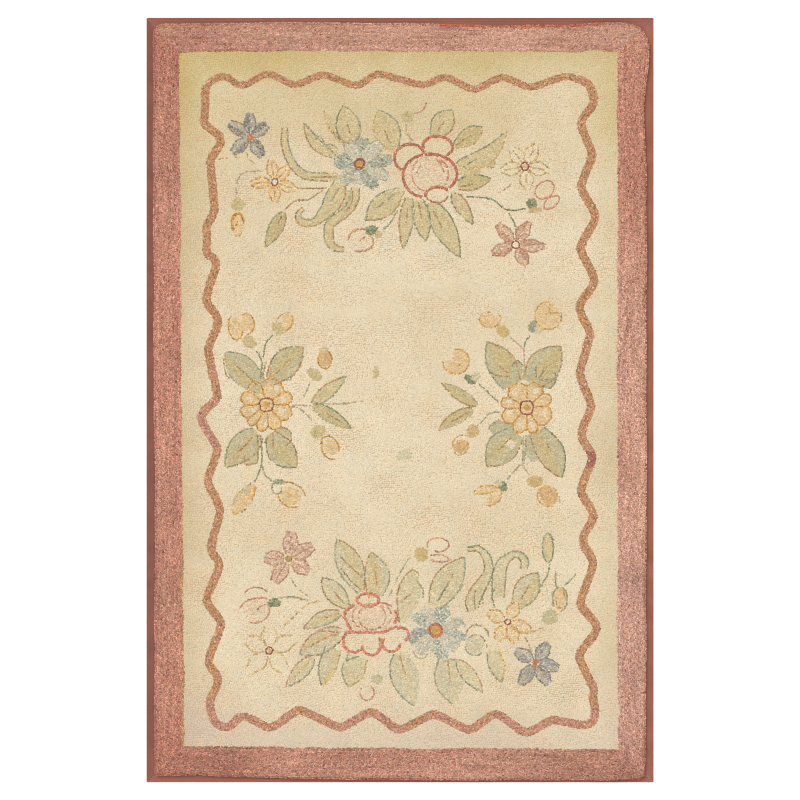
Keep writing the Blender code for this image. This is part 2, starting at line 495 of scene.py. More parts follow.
def draw_violet_at_top():
    petals = ((90, 24), (35.5, 22), (146, 25.4), (222, 24), (302.5, 23.5))
    star(249.9, 136.9, petals, 12, "violet", "violet_pale", "violet", start=3.5, point=0.5)
    spot("coral_centre", 250.2, 137, 7.5, 7.5)
    line("stem", 1, "247,152 248.3,158.3 255.6,164.3", gaps=0.3)
    line("gold", 1, "240,157 230,157.5 219,159.5", gaps=0.35)
    line("stem", 1, "236.9,197 236.2,183.7 243.6,173 263,170.4", gaps=0.35)


def draw_orange_star_at_top():
    petals = ((100.8, 23.4), (47.7, 21.5), (-19.4, 22.5), (-90, 20.5), (183, 24.5))
    star(274.8, 182, petals, 11, "amber", "peach_pale", vein="amber", point=0.35, loose=0.04)
    ring("mauve", 1, 274.8, 182, 6.5)
    spot("white", 274.8, 182, 4, 4)


def draw_buds_at_top():
    spot("peach", 238, 224, 13, 22)
    curve("orange", 2, 237.9, 223.5, 11.5, 20, 225, 0)
    line("amber", 1, "237,221 237,226", gaps=0.2)
    curve("gold", 1, 238, 228, 10, 17, 230, 310, gaps=0.2)
    spot("olive_deep", 238, 204.5, 14, 13)
    curve("coral_soft", 1, 361, 240, 25, 22, 180, 70)
    curve("coral_soft", 1, 360, 242, 27, 19, 40, -110)
    line("coral_soft", 1, "360,240.7 365,236.8", gaps=0.2)
    spot("forest", 371.5, 230, 13, 10)
    spot("olive_deep", 378.5, 234.5, 7, 9, 20)
    line("teal", 1, "382.8,230 389.5,223.9 398,210", gaps=0.1)
    curve("coral_soft", 1, 414, 102, 24, 23, 0, -90)
    spot("olive_deep", 407.5, 116.8, 13, 13)
    line("stem", 1, "406.1,124.5 406.8,132.9 412.8,141", gaps=0.15)
    line("forest", 1, "467,196.5 491.2,199.1 507.2,209.9 526,208.5", gaps=0.1)
    line("forest", 1, "507.9,211.5 515.3,225.3 515.9,234.6", gaps=0.1)
    line("stem", 1, "495.2,195.8 503.2,190.4 513.9,182.4", gaps=0.3)
    ring("coral_soft", 1, 544.7, 189.8, 21, 16, 42)
    ring("coral_soft", 1, 551.8, 202.3, 18, 10, 38)
    spot("forest", 532, 203.4, 12, 11)
    spot("gold", 535.5, 209.8, 13, 6, 10)


def draw_yellow_star_at_top():
    petals = ((190, 24.8), (-9.5, 24.8), (126.6, 24), (62.8, 24.5), (-83, 24.3))
    star(525, 166.3, petals, 13.5, "gold", "cream", vein="gold", point=0.3, loose=0.15)
    ring("mauve", 1, 525, 166.3, 7.6)
    spot("peach_deep", 525, 166.3, 4.5, 4.5)


def draw_mauve_star_at_top():
    petals = ((131, 27.5), (58.8, 26.6), (-3.8, 30), (-61, 24), (200, 25.5))
    star(515.5, 244.7, petals, 12.5, "mauve_line", "mauve_pale", "mauve_star", point=0.35)
    ring("mauve", 1, 515.5, 244.7, 7.5)
    spot("white", 515.5, 244.7, 4.5, 4.5)


def draw_left_spray():
    daisy(266.5, 404.8, [105, 38, 0, -47, -85, -118, -144, -180, -218], 26.2, "orange", "peach")
    for x, y in ((254, 410), (266, 424), (282, 411), (283, 399), (250, 399), (276, 388)):
        spot("cream", x, y, 6, 6)
    leaf(
        (262, 388), (225.5, 352), 27, "stem", "teal", "sage", 1, 0.5, 0.5, ("olive_deep", 0.1, 0.7),
        ("brown", 0.1, 0.65, 1),
    )
    line("brown", 1, "225.5,352 223.9,362 226,374 230.2,378.6")
    leaf(
        (270, 381), (303, 347), 27, "brown", "brown", "sage", 1, 0.5, 0.4, ("olive_deep", -0.4, 0.5),
        ("brown", 0.2, 0.65, 0),
    )
    line("teal", 1, "294,373 289.5,379.5 281,380")
    line("brown", 1, "270.8,368.7 270.8,378.6")
    line("brown", 1, "265.9,362 261.7,378.6")
    leaf(
        (258, 433), (225, 467), 27, "brown", "teal", "sage", -1, 0.4, 0.5, ("olive_deep", -0.2, 0.5),
        ("brown", 0.15, 0.6, 0),
    )
    area("sage", "246,452 257,436 257.5,461 251,464 245,464")
    line("brown", 1, "244.6,455.5 244.9,464.1 251.9,464.1 257.9,460 257.5,434")
    leaf(
        (270, 434), (296, 467.5), 27, "brown", "forest", "sage", -2, 0.5, 0.4,
        ("olive_deep", -0.5, 0.4),
    )
    spot("sage", 281, 437, 20, 18)
    curve("brown", 1, 281.5, 437, 20, 19, 110, -75)
    line("brown", 1, "273,431.9 273,447.3")
    line("brown", 1, "268.7,436.1 264.5,443.1", gaps=0.1)
    line("forest", 1, "260.5,435 261.7,462.7 254.7,482.4")
    line("teal", 1, "261.5,464.1 264.5,474 271.5,481")
    line("forest", 1, "260.4,379 261.7,361.7 256.1,350.5", gaps=0.1)
    line("forest", 1, "263.1,358 265.9,343.5 273,335.1", gaps=0.1)
    leaf((312.5, 404), (346, 376.5), 13, "brown", "teal", "olive")
    leaf((313, 405), (351.5, 428.4), 13, "forest", "stem", "olive_deep", vein=("brown", 0.35, 0.75, 0))
    line("stem", 1, "292.5,405.2 312.2,405.9", gaps=0.15)
    line("stem", 1, "320,403.3 340,404 362.7,401", gaps=0.4)
    line("stem", 1, "310.1,382.8 307,390 303.8,396.8", gaps=0.25)
    line("stem", 1, "291.2,406.6 301,409.4 312.2,420.6", gaps=0.2)


def draw_left_buds():
    spot("peach", 236.5, 327, 13, 20)
    spot("peach", 247, 323, 12, 18)
    curve("orange", 1, 236, 326, 15, 27, 130, 340)
    curve("orange", 1, 246.5, 324, 15.5, 21, 125, -90)
    spot("olive_deep", 249.5, 342, 15, 12, -40)
    spot("peach", 287, 322.4, 12, 18, 10)
    spot("olive_deep", 278, 328.5, 11, 14, 35)
    curve("gold", 1, 290, 328, 31, 31, 187, 92, gaps=0.2)
    curve("orange", 1, 283, 319, 19.5, 24, 25, -80)
    spot("peach_deep", 324.5, 358.5, 13, 17)
    curve("orange", 1, 324.8, 359.3, 14, 18.5, 165, 430)
    spot("olive_deep", 314.5, 374.3, 11, 17, 55)
    spot("olive", 324, 350, 8, 6)
    spot("olive_deep", 318.5, 431.5, 13, 16, -60)
    spot("peach", 331, 447.5, 16, 13, -52)
    curve("orange", 1, 333, 446, 23, 27, 155, 280)
    curve("orange", 1, 328, 451, 22, 29, 125, 0, gaps=0.15)
    leaf((253.5, 485), (233, 514.6), 16, "orange", "gold", "peach", 0, 0.5, 0.3, None, None, 0.4)
    spot("olive", 246, 491, 11, 9, 40)
    spot("peach", 291, 496, 20, 18, -30)
    curve("orange", 1, 286, 506, 44, 48, 95, 25)
    curve("orange", 1, 293, 493, 30, 29, 190, 290)
    line("orange", 1, "286,491 291,497", gaps=0.2)
    spot("teal", 279, 481.8, 13, 6)
    curve("teal", 1, 277, 487, 10, 14.5, 150, 360)


def draw_right_spray():
    daisy(526.8, 407.6, [150, 90, 41, 5, -57, -90, -132, -176], 25.8, "orange", "peach")
    for x, y in ((514, 394), (536, 391), (545, 413), (521, 425), (533, 425), (509, 413), (509, 402)):
        spot("cream", x, y, 6, 6)
    leaf(
        (512, 385), (487.3, 342), 28, "teal", "brown", "sage", -1, 0.45, 0.7,
        ("olive_deep", -1.0, 0.3),
    )
    area("sage_deep", "490,373 497.5,375.5 509.8,376.5 516.5,381.5 506,385.5 496,384")
    area("sage_deep", "511,365 517,361 522,366 522.5,381 517,383 512,378")
    line("brown", 1, "487.8,371.5 498.6,375.8 509.8,376.5")
    line("brown", 1, "500,366 508,373.5", gaps=0.1)
    line("forest", 1, "512.5,366.5 517,360.5 522.4,365", gaps=0.1)
    leaf(
        (531, 384), (561, 346.3), 32, "brown", "brown", "sage", 1, 0.45, 0.5,
        ("olive_deep", -0.8, 0.2), ("brown", 0.2, 0.5, -3),
    )
    area("sage_deep", "536,381 548,377 556.1,379 550.5,388.4 543.5,387.5")
    area("sage_deep", "527.3,366 532.5,361 535.5,366 535.5,379 528,381.5")
    line("teal", 1, "554.7,371 556.1,380 550.5,388 544,387.5", gaps=0.05)
    line("brown", 1, "539,379.8 554.7,379.6")
    line("brown", 1, "535.8,366 536.2,379")
    line("stem", 1, "523.8,347.7 524.2,365 523.8,380")
    leaf(
        (517, 433), (486.8, 466.5), 30, "brown", "teal", "sage", -1, 0.45, 0.5,
        ("olive_deep", -0.5, 0.2), ("brown", 0.15, 0.6, -1),
    )
    spot("sage_deep", 502, 429, 26, 17, -8)
    curve("teal", 1, 502, 429, 26, 18, 170, 85, 8, 0.15)
    spot("cream", 511, 444, 12, 8, -35)
    area("sage_deep", "523.5,435.5 517.5,452 510,459 501,461 508,453 518.5,444")
    spot("sage_deep", 533.5, 447, 18, 30)
    leaf(
        (537, 431), (562, 478), 27, "forest", "brown", "sage", 2, 0.45, 0.6, ("olive_deep", -0.8, 0.1),
        ("brown", 0.3, 0.45, 1),
    )
    line("stem", 1, "523.6,435.5 522.4,465.5")
    line("stem", 1, "526,435 525,454 523.5,464")
    line("stem", 1, "522.9,348.5 509.8,336.5", gaps=0.1)
    line("forest", 1, "524.5,346.5 524.8,343 530.1,335.1", gaps=0.1)
    line("stem", 1, "520.3,464.8 513,472.5 507,479.6", gaps=0.05)
    line("stem", 1, "522.8,465.5 529.4,475.4", gaps=0.1)
    line("teal", 1, "498.5,401.3 495.8,399.6 478.9,384.2", gaps=0.05)
    line("teal", 1, "500.5,412.2 490.1,413.6 477.5,426.3", gaps=0.2)
    leaf((476.5, 405.4), (441.7, 383), 11, "brown", "stem", "olive_deep", vein=("stem", 0.3, 0.75, -2))
    leaf(
        (473, 409), (438.2, 430), 12, "stem", "brown", "olive_deep", bend=-1,
        vein=("brown", 0.1, 0.6, 1),
    )


def draw_right_buds():
    spot("peach", 488.7, 319.6, 19, 14, -25)
    curve("amber", 1, 490, 319, 21, 17, 165, 400)
    curve("gold", 1, 489, 319, 18, 14, 60, 150, gaps=0.2)
    spot("gold", 503, 331.4, 15, 12, -30)
    spot("peach", 547, 316, 26, 26)
    curve("amber", 1, 548.5, 315.5, 27, 28, 85, 365)
    line("amber", 1, "549.8,312 550.3,302")
    line("amber", 1, "561.5,313.3 553.3,312.8 545,314.5", gaps=0.1)
    spot("teal", 532.3, 326.5, 7.5, 12.5, -12)
    spot("sage_pale", 539, 329.5, 9, 11)
    spot("peach", 457.5, 362, 24, 23)
    spot("cream", 449, 356, 9, 9)
    curve("amber", 1, 456, 361.5, 27, 25, 180, 330)
    curve("amber", 1, 456, 361.5, 27, 25, 100, -25)
    line("amber", 1, "459,366 463,362", gaps=0.2)
    spot("forest", 470, 379.5, 14, 8, -35)
    spot("sage_pale", 475.5, 376.5, 9, 10)
    spot("peach_deep", 461, 446.5, 15, 13, 35)
    curve("amber", 1, 463, 446, 21, 22, 190, 45)
    curve("gold", 1, 460, 446, 17, 18, 20, -135, gaps=0.3)
    spot("gold", 473.3, 431.2, 13, 13)
    spot("peach", 488, 490.5, 24, 8, 12)
    spot("peach", 494, 499, 15, 9, 30)
    curve("amber", 1, 488, 494.5, 28, 18, 180, 15)
    line("amber", 1, "474,494.6 485.9,493.6 494.3,491.5", gaps=0.15)
    curve("amber", 1, 486, 494, 31, 24, 5, -90)
    spot("forest", 503.5, 486.4, 9, 10, 30)
    spot("sage_pale", 498.5, 482.5, 8, 7)
    spot("peach_deep", 548.5, 495.5, 17, 22, 35)
    curve("amber", 1, 549, 496, 23, 20.5, 90, 285)
    curve("gold", 1, 549, 499, 21, 24, 70, -15, gaps=0.3)
    spot("gold", 535.2, 481.7, 17, 12)


def draw_rose_at_bottom():
    spot("blush", 371, 617.5, 52, 31)
    ring("coral_low", 2, 368, 600, 21.5, 13)
    curve("coral_low", 2, 371, 617.5, 54, 31, 125, 185)
    line("coral_low", 2, "345,617.5 350.5,630")
    line("coral_low", 2, "345,632 364,632.5 384,632.5")
    curve("coral_low", 2, 372, 617, 50, 32, 335, 385)
    line("coral_low", 2, "384,632.5 392,628.5 398,626.5")
    curve("coral_low", 1, 381, 612, 26, 18.5, 30, 95)
    curve("coral_low", 2, 354, 641.5, 21.5, 22, 115, 320)
    curve("coral_low", 2, 371.3, 644, 19, 22.5, 190, 395)
    curve("coral_low", 2, 391.5, 643, 18, 17.5, 150, 355)
    curve("coral_low", 2, 401, 634.5, 15, 13.5, -60, 120)
    ring("coral_soft", 1, 372.2, 616.9, 27, 26, gaps=0.3)
    curve("coral_soft", 1, 372, 616, 39, 30, 40, -40, gaps=0.3)
    curve("coral_soft", 1, 372, 616, 39, 30, 145, 230, gaps=0.3)


def draw_blue_flower_at_bottom():
    x, y = 435.6, 630.4
    petals = (
        (116, 25, 17, "blue_pale"),
        (69, 28, 16, "blue_low"),
        (146, 28, 11, "blue_low"),
        (201, 28, 19, "blue_deep"),
        (270, 22, 13, "blue_pale"),
        (-14, 32, 12, "blue_low"),
        (-74, 30, 16, "blue_low"),
        (20, 30, 13, "blue_pale"),
        (-42, 29, 15, "blue_pale"),
        (232, 29, 16, "blue_pale"),
    )
    blossom(x, y, petals, 7.5)
    ring("coral", 2, x, y, 12.5)
    spot("yellow", x, y, 10, 10)
    line("blue", 1, "451,621 458,620.5 464,623.5 466,628", gaps=0.25)
    curve("blue", 1, 421, 651, 15, 15, 180, 340, gaps=0.35)


def draw_leaves_at_bottom():
    leaf(
        (361, 592), (337, 539), 25, "teal", "brown", "sage_pale", bend=-1, belly=0.5,
        shade=("olive", -0.8, 0.1),
    )
    line("brown", 1, "340.9,557 351.1,567.2 362.6,577.8", gaps=0.15)
    line("brown", 1, "340.9,568.5 351.1,581.2 361.3,590.1", gaps=0.15)
    leaf(
        (375, 598), (371.3, 552), 25, "rust", "teal", "sage_pale", -4, 0.45, 0.5, ("olive", -0.4, 0.8),
        ("rust", 0.25, 0.75, 0), 0.25,
    )
    leaf(
        (348, 608), (322, 578), 19, "brown", "teal", "olive_low", belly=0.5,
        vein=("brown", 0.05, 0.55, 0),
    )
    leaf(
        (341, 613), (303.5, 629), 14, "teal", "brown", "sage_pale", bend=-2,
        shade=("olive", -0.3, 0.6), vein=("rust", 0.05, 0.45, 0),
    )
    leaf((342, 630), (316, 632), 8, None, "pink_line", "sage_pale")
    leaf(
        (341, 636), (299.5, 654), 22, "teal", "pink_line", "sage_pale", -2, 0.5, 0.3,
        ("olive", -0.8, -0.1),
    )
    line("rust", 1, "339,634.5 326,637.5 309,647", gaps=0.25)
    leaf((313.5, 657.5), (286, 687), 15, "teal", "pink_line", "olive_low", vein=("gold", 0.15, 0.7, 0))
    leaf((333, 649), (321.8, 686), 18, "gold", "teal", "sage_pale", 0, 0.4, 0.9, ("olive", 0.2, 0.8))
    leaf((357.5, 657), (348.3, 687), 23, "gold", "teal", "olive_low", blunt=0.9)
    line("teal", 1, "345.5,661.5 352,658.5 358.8,656.5", gaps=0.1)
    leaf(
        (398, 653), (413.9, 706.2), 28, None, "teal", "sage_pale", 0, 0.42, 0.3,
        ("olive_low", -0.4, 0.6), ("rust", 0.05, 0.45, 1),
    )
    leaf((402, 623), (413, 569), 23, "brown", None, "olive_low", bend=-1, belly=0.55)
    line("brown", 1, "412.1,569.1 418.5,573.6 416.6,579", gaps=0.1)
    line("brown", 1, "401.5,602 406,597.5 411,594.5", gaps=0.15)
    line("teal", 1, "417,581 422.5,589 423,598", gaps=0.1)
    leaf(
        (434, 606), (464.5, 557.3), 28, "brown", "teal", "olive_low", 1, 0.45, 0.4, None,
        ("forest", 0.1, 0.55, -1),
    )
    line("brown", 1, "451.5,577.5 453.5,574", gaps=0.1)
    curl = (
        (467.6, 549.3, 4),
        (480, 549.5, 6),
        (487, 559, 8),
        (488.5, 572, 9),
        (480, 587, 12),
        (473, 600, 15),
        (473.5, 611, 10),
    )
    scroll(curl, "forest", "brown", "olive_low")
    line("brown", 1, "476.5,588.9 474.6,596.5 475.3,609.3", gaps=0.1)
    line("teal", 1, "482.3,595.3 482.9,604.2", gaps=0.2)
    curl = (
        (524, 569, 6),
        (524.5, 560, 8),
        (517.5, 554.5, 6),
        (508, 558, 8),
        (501, 567, 12),
        (499, 581, 13),
        (498, 598, 12),
    )
    scroll(curl, "brown", "teal", "olive_low")
    line("forest", 1, "494.4,588.9 492.5,596.5 494.4,608", gaps=0.05)
    leaf(
        (516, 607), (537.5, 572.8), 24, "brown", "teal", "sage_pale", 0, 0.5, 0.4,
        ("olive", -0.9, 0.1), ("brown", 0.25, 0.6, 0),
    )
    leaf((492.5, 651), (501.6, 682), 16, "gold", "teal", "olive_low", blunt=0.7)
    leaf(
        (448, 659), (452.3, 704), 30, None, "teal", "sage_pale", 0, 0.42, 0.6, ("olive_low", 0.1, 0.8),
        ("rust", 0.05, 0.55, 0),
    )
    leaf((457.5, 661), (483, 692.4), 14, "rust", "teal", "olive_low", loose=0.2)
    line("teal", 1, "444,661.5 450,659.5 457,660", gaps=0.1)
    spot("sage_pale", 475, 644, 18, 19)
    curve("brown", 1, 477, 637, 23, 24, 165, -10, gaps=0.3)
    curve("brown", 1, 476, 648, 22, 26, 130, 0, gaps=0.3)
    curve("teal", 1, 475, 647, 19, 17, 175, 320, gaps=0.15)


def draw_pink_star():
    petals = ((83.6, 27.6), (28, 28), (-33, 24.5), (238, 27.8), (178, 24.5))
    star(288.7, 558.9, petals, 14.5, "pink_line", "pink", vein="pink_line", point=0.55)
    ring("brown", 1, 288.7, 558.9, 5.6)
    spot("yellow", 288.7, 558.9, 4.6, 4.6)


def draw_buds_at_bottom():
    spot("blush", 256, 607, 20, 17)
    curve("coral_soft", 1, 256, 597, 25, 19, 155, 30)
    curve("coral_soft", 1, 260, 612, 42, 28, 165, 70)
    curve("coral_soft", 1, 254, 610, 31, 26, -105, 35)
    line("coral_soft", 1, "255.5,610.5 260.6,606.7 265.7,603.5", gaps=0.3)
    spot("forest", 274, 602.9, 13, 9)
    line("teal", 1, "278.5,598 293.8,597.1 308.4,601", gaps=0.1)
    line("stem", 1, "291.2,574.8 293.8,583.8 307.8,596.5", gaps=0.25)
    line("gold", 1, "320.5,601.6 309.1,603.5 296.3,614.4 283.6,625.8", gaps=0.35)
    curve("coral_soft", 1, 367, 693, 14, 15, 60, -70)
    curve("coral_soft", 1, 367, 693, 14, 15, -80, -220, gaps=0.3)
    spot("sage", 377.3, 679.4, 12, 9, 20)
    curve("coral_soft", 1, 438, 545, 22, 14, 200, -110, gaps=0.1)
    curve("coral_soft", 1, 439, 558.5, 21, 7, 150, -150, -6, 0.15)
    spot("gold", 421.4, 554.4, 14, 14)
    line("stem", 1, "412.4,555.7 404.7,564.6 389.4,595.2", gaps=0.4)
    spot("olive", 548.3, 547.8, 10, 28)
    curve("teal", 1, 548, 547.8, 11, 29, 95, 265, gaps=0.1)
    curve("forest", 1, 548, 548, 11, 29, 85, -85)
    line("teal", 1, "549.9,563 548,573.6 540.5,587")
    line("teal", 1, "555.6,571 555.8,586.3")
    line("teal", 1, "576,574.2 570.9,580 564.5,585.1")
    spot("peach", 559.8, 598.5, 12, 23, -8)
    curve("teal", 1, 560, 599, 14.5, 24.5, 95, 220)
    curve("teal", 1, 560, 599, 14.5, 24.5, 75, -85)
    line("orange", 1, "563.5,589 564.5,597", gaps=0.1)
    line("orange", 1, "556.5,597 556.5,605", gaps=0.1)
    line("orange", 1, "556,608 562,608")
    spot("sage", 550, 617.5, 17, 15, 30)
    line("gold", 1, "542.9,627.8 535.2,631 525,633.5", gaps=0.3)
    line("stem", 1, "525,637.3 532.7,652.7", gaps=0.25)


def draw_small_stars_at_bottom():
    petals = ((90, 24), (25, 27), (-52, 25.5), (225, 29), (154, 25))
    star(269.3, 650.7, petals, 16, "gold", "cream", point=0.55, loose=0.1)
    ring("mauve", 1, 269.3, 650.7, 7)
    spot("gold", 269.3, 650.7, 4, 4)
    petals = ((65, 21.5), (-18.5, 24.5), (-67, 22), (239, 21.5), (154, 22.3))
    star(507.8, 622, petals, 12.5, "amber", "peach_pale", point=0.35, loose=0.06)
    ring("mauve", 1, 507.8, 622, 5.5)


def draw_violet_at_bottom():
    petals = ((148.6, 23.4), (55, 23.5), (-14, 24.5), (-58.3, 25.5), (236.6, 26.5))
    star(535.2, 662.4, petals, 13, "violet", "violet_pale", "violet_mid", start=3.5, point=0.5)
    spot("coral_centre", 535.4, 662.4, 6.5, 7.5)


def draw_smudges():
    spot("olive_deep", 376, 373, 6, 13)
    spot("smudge", 405, 455, 16, 12, 30)


draw_wave()
draw_blue_flower_at_top()
draw_leaves_at_top()
draw_rose_at_top()
draw_violet_at_top()
draw_orange_star_at_top()
draw_buds_at_top()
draw_yellow_star_at_top()
draw_mauve_star_at_top()
draw_left_spray()
draw_left_buds()
draw_right_spray()
draw_right_buds()
draw_rose_at_bottom()
draw_blue_flower_at_bottom()
draw_leaves_at_bottom()
draw_pink_star()
draw_buds_at_bottom()
draw_small_stars_at_bottom()
draw_violet_at_bottom()
draw_smudges()


def linear(colour):
    c = np.asarray(colour, float) / 255
    return np.where(c <= 0.04045, c / 12.92, ((c + 0.055) / 1.055) ** 2.4)


class Noise:
    """A smooth random field over the rug, about 0 with a spread of about 1."""

    CELLS = 97

    def __init__(self, size, size_y=None):
        self.grid = weather.normal(size=(self.CELLS, self.CELLS))
        self.size = (size, size_y or size)

    def at(self, i, j):
        return self.grid[i % self.CELLS, j % self.CELLS]

    def __call__(self, x, y):
        u, v = (np.asarray(x) + 3.0) / self.size[0], (np.asarray(y) + 3.0) / self.size[1]
        i, j = np.floor(u).astype(int), np.floor(v).astype(int)
        f, g = u - i, v - j
        f, g = f * f * (3 - 2 * f), g * g * (3 - 2 * g)
        low = self.at(i, j) * (1 - f) + self.at(i + 1, j) * f
        high = self.at(i, j + 1) * (1 - f) + self.at(i + 1, j + 1) * f
        return 1.4 * (low * (1 - g) + high * g)


def inside(points, polygon):
    """Which points lie inside the polygon."""
    low, high = polygon.min(0), polygon.max(0)
    near = np.flatnonzero(np.all((points >= low) & (points <= high), axis=1))
    found = np.zeros(len(points), bool)
    if not len(near):
        return found
    x, y = points[near, 0], points[near, 1]
    odd = np.zeros(len(near), bool)
    ax, ay = polygon[-1]
    for bx, by in polygon:
        if ay != by:
            odd ^= ((ay > y) != (by > y)) & (x < (bx - ax) * (y - ay) / (by - ay) + ax)
        ax, ay = bx, by
    found[near] = odd
    return found


def tree_of(points):
    tree = KDTree(len(points))
    for i, (x, y) in enumerate(points):
        tree.insert((x, y, 0), i)
    tree.balance()
    return tree


def nearest(tree, points):
    """The number of the tree's nearest point to each point, and how far it is."""
    found = [tree.find((x, y, 0)) for x, y in points]
    return np.array([f[1] for f in found]), np.array([f[2] for f in found])


def resample(points, step):
    """Points at even steps along a polyline, and the directions there."""
    d = np.linalg.norm(np.diff(points, axis=0), axis=1)
    s = np.concatenate([[0], np.cumsum(d)])
    count = max(1, int(round(s[-1] / step)))
    t = (np.arange(count) + 0.5) * s[-1] / count

    def place(at):
        return np.stack([np.interp(at, s, points[:, 0]), np.interp(at, s, points[:, 1])], 1)

    way = place(t + step / 3) - place(t - step / 3)
    return place(t), np.arctan2(way[:, 1], way[:, 0])


# The frame's own surfaces: the pile's outline, and its heights on a grid.
cad_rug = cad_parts["rug"]
cad_points = np.array([v.co for v in cad_rug.data.vertices])
cad_faces = [tuple(p.vertices) for p in cad_rug.data.polygons]
cad_tree = BVHTree.FromPolygons([Vector(p) for p in cad_points], cad_faces)
half_width, half_length = np.abs(cad_points[:, :2]).max(0)


def rim_of_cad():
    """The pile's outline, as a ring of evenly spaced points."""
    side = set()
    for p in cad_rug.data.polygons:
        if abs(p.normal.z) < 0.2:
            side.update(p.vertices)
    ring_points = cad_points[sorted(side)][:, :2]
    # The angles of a rectangle squeezed to a square keep its points in order.
    angle = np.arctan2(ring_points[:, 1] / half_length, ring_points[:, 0] / half_width)
    ring_points = ring_points[np.argsort(angle)]
    keep = [0]
    for i in range(1, len(ring_points)):
        if np.linalg.norm(ring_points[i] - ring_points[keep[-1]]) > 0.0004:
            keep.append(i)
    ring_points = ring_points[keep]
    closed = np.concatenate([ring_points, ring_points[:1]])
    return resample(closed, RIM_STEP)[0]


rim = rim_of_cad()
rim_tree = tree_of(rim)
HEIGHT_CELL = 0.008
height_x = np.arange(-GRID_REACH[0], GRID_REACH[0] + 0.001, HEIGHT_CELL)
height_y = np.arange(-GRID_REACH[1], GRID_REACH[1] + 0.001, HEIGHT_CELL)


def cad_heights(from_above):
    """The CAD pile's top or underside on a grid, filled past the rim from inside it, and softened."""
    z = np.full((len(height_x), len(height_y)), np.nan)
    start_z, way = (0.1, Vector((0, 0, -1))) if from_above else (-0.1, Vector((0, 0, 1)))
    for i, x in enumerate(height_x):
        for j, y in enumerate(height_y):
            hit = cad_tree.ray_cast(Vector((x, y, start_z)), way)[0]
            if hit is not None:
                z[i, j] = hit.z
    gx, gy = np.meshgrid(height_x, height_y, indexing="ij")
    flat = np.stack([gx.ravel(), gy.ravel()], 1)
    z[(nearest(rim_tree, flat)[1] < 0.0055).reshape(z.shape)] = np.nan
    wide, tall = z.shape
    while np.isnan(z).any():
        padded = np.pad(z, 1, constant_values=np.nan)
        around = np.stack(
            [padded[a : a + wide, b : b + tall] for a in (0, 1, 2) for b in (0, 1, 2)],
        )
        count = (~np.isnan(around)).sum(0)
        filled = np.where(count > 0, np.nansum(around, 0) / np.maximum(count, 1), np.nan)
        z = np.where(np.isnan(z), filled, z)
    kernel = np.array([1, 4, 6, 4, 1]) / 16
    for _ in range(2):
        for axis in (0, 1):
            padded = np.pad(z, [(2, 2) if a == axis else (0, 0) for a in (0, 1)], mode="edge")
            size = z.shape[axis]
            z = sum(
                k * np.take(padded, np.arange(n, n + size), axis=axis) for n, k in enumerate(kernel)
            )
    return z


top_grid, under_grid = cad_heights(True), cad_heights(False)


def height_at(grid, x, y):
    u = np.clip((x - height_x[0]) / HEIGHT_CELL, 0, len(height_x) - 1.001)
    v = np.clip((y - height_y[0]) / HEIGHT_CELL, 0, len(height_y) - 1.001)
    i, j = u.astype(int), v.astype(int)
    f, g = u - i, v - j
    low = grid[i, j] * (1 - f) + grid[i + 1, j] * f
    high = grid[i, j + 1] * (1 - f) + grid[i + 1, j + 1] * f
    return low * (1 - g) + high * g


# The field's corners on the rug, and its sides, which waver a little.
top_left, top_right, low_right, low_left = metres(
    pairs("179.3,51.6 617.5,51.6 617.7,749.6 184.3,746.2"),
)
wobble = Noise(0.045)
WOBBLE = 0.0011


def edge_curve(axis, sign):
    """The pile's edge on one side, with its x at each y, or its y at each x for the top and bottom."""
    along = 1 - axis
    near = rim[rim[:, axis] * sign > (0.50 if axis == 0 else 0.80)]
    near = near[np.argsort(near[:, along])]
    # At the rounded corners the side runs on straight, and loops past the rim are dropped later.
    middle = near[np.abs(near[:, along]) < (0.84 if axis == 0 else 0.53)]

    def edge(t):
        return np.interp(t, middle[:, along], middle[:, axis])

    return edge


left_edge, right_edge = edge_curve(0, -1), edge_curve(0, 1)
low_edge, top_edge = edge_curve(1, -1), edge_curve(1, 1)


def waver(t, seed):
    return WOBBLE * wobble(t, t * 0 + seed)


def field_left(y):
    return np.interp(y, [low_left[1], top_left[1]], [low_left[0], top_left[0]]) + waver(y, 0.3)


def field_right(y):
    return np.interp(y, [low_right[1], top_right[1]], [low_right[0], top_right[0]]) + waver(y, 1.3)


def field_top(x):
    return np.interp(x, [top_left[0], top_right[0]], [top_left[1], top_right[1]]) + waver(x, 0.7)


def field_low(x):
    return np.interp(x, [low_left[0], low_right[0]], [low_left[1], low_right[1]]) + waver(x, 1.7)


def depths(p):
    """How far a point is across each border, from 0 at the pile's edge to 1 at the field."""
    x, y = p[:, 0], p[:, 1]
    left = (x - left_edge(y)) / (field_left(y) - left_edge(y))
    right = (right_edge(y) - x) / (right_edge(y) - field_right(y))
    low = (y - low_edge(x)) / (field_low(x) - low_edge(x))
    top = (top_edge(x) - y) / (top_edge(x) - field_top(x))
    return np.stack([left, right, low, top])


def grid_rows(low, high, along_low, along_high):
    """For a block of rows, each loop's row, its place across as a share and its place along."""
    rows = int(round((high - low) / ROW))
    steps = int(round((along_high - along_low) / STEP))
    r, s = np.meshgrid(np.arange(rows), np.arange(steps), indexing="ij")
    shift = random.random(rows)[r]
    return r.ravel(), ((r + 0.5) / rows).ravel(), (along_low + (s + shift) * STEP).ravel()


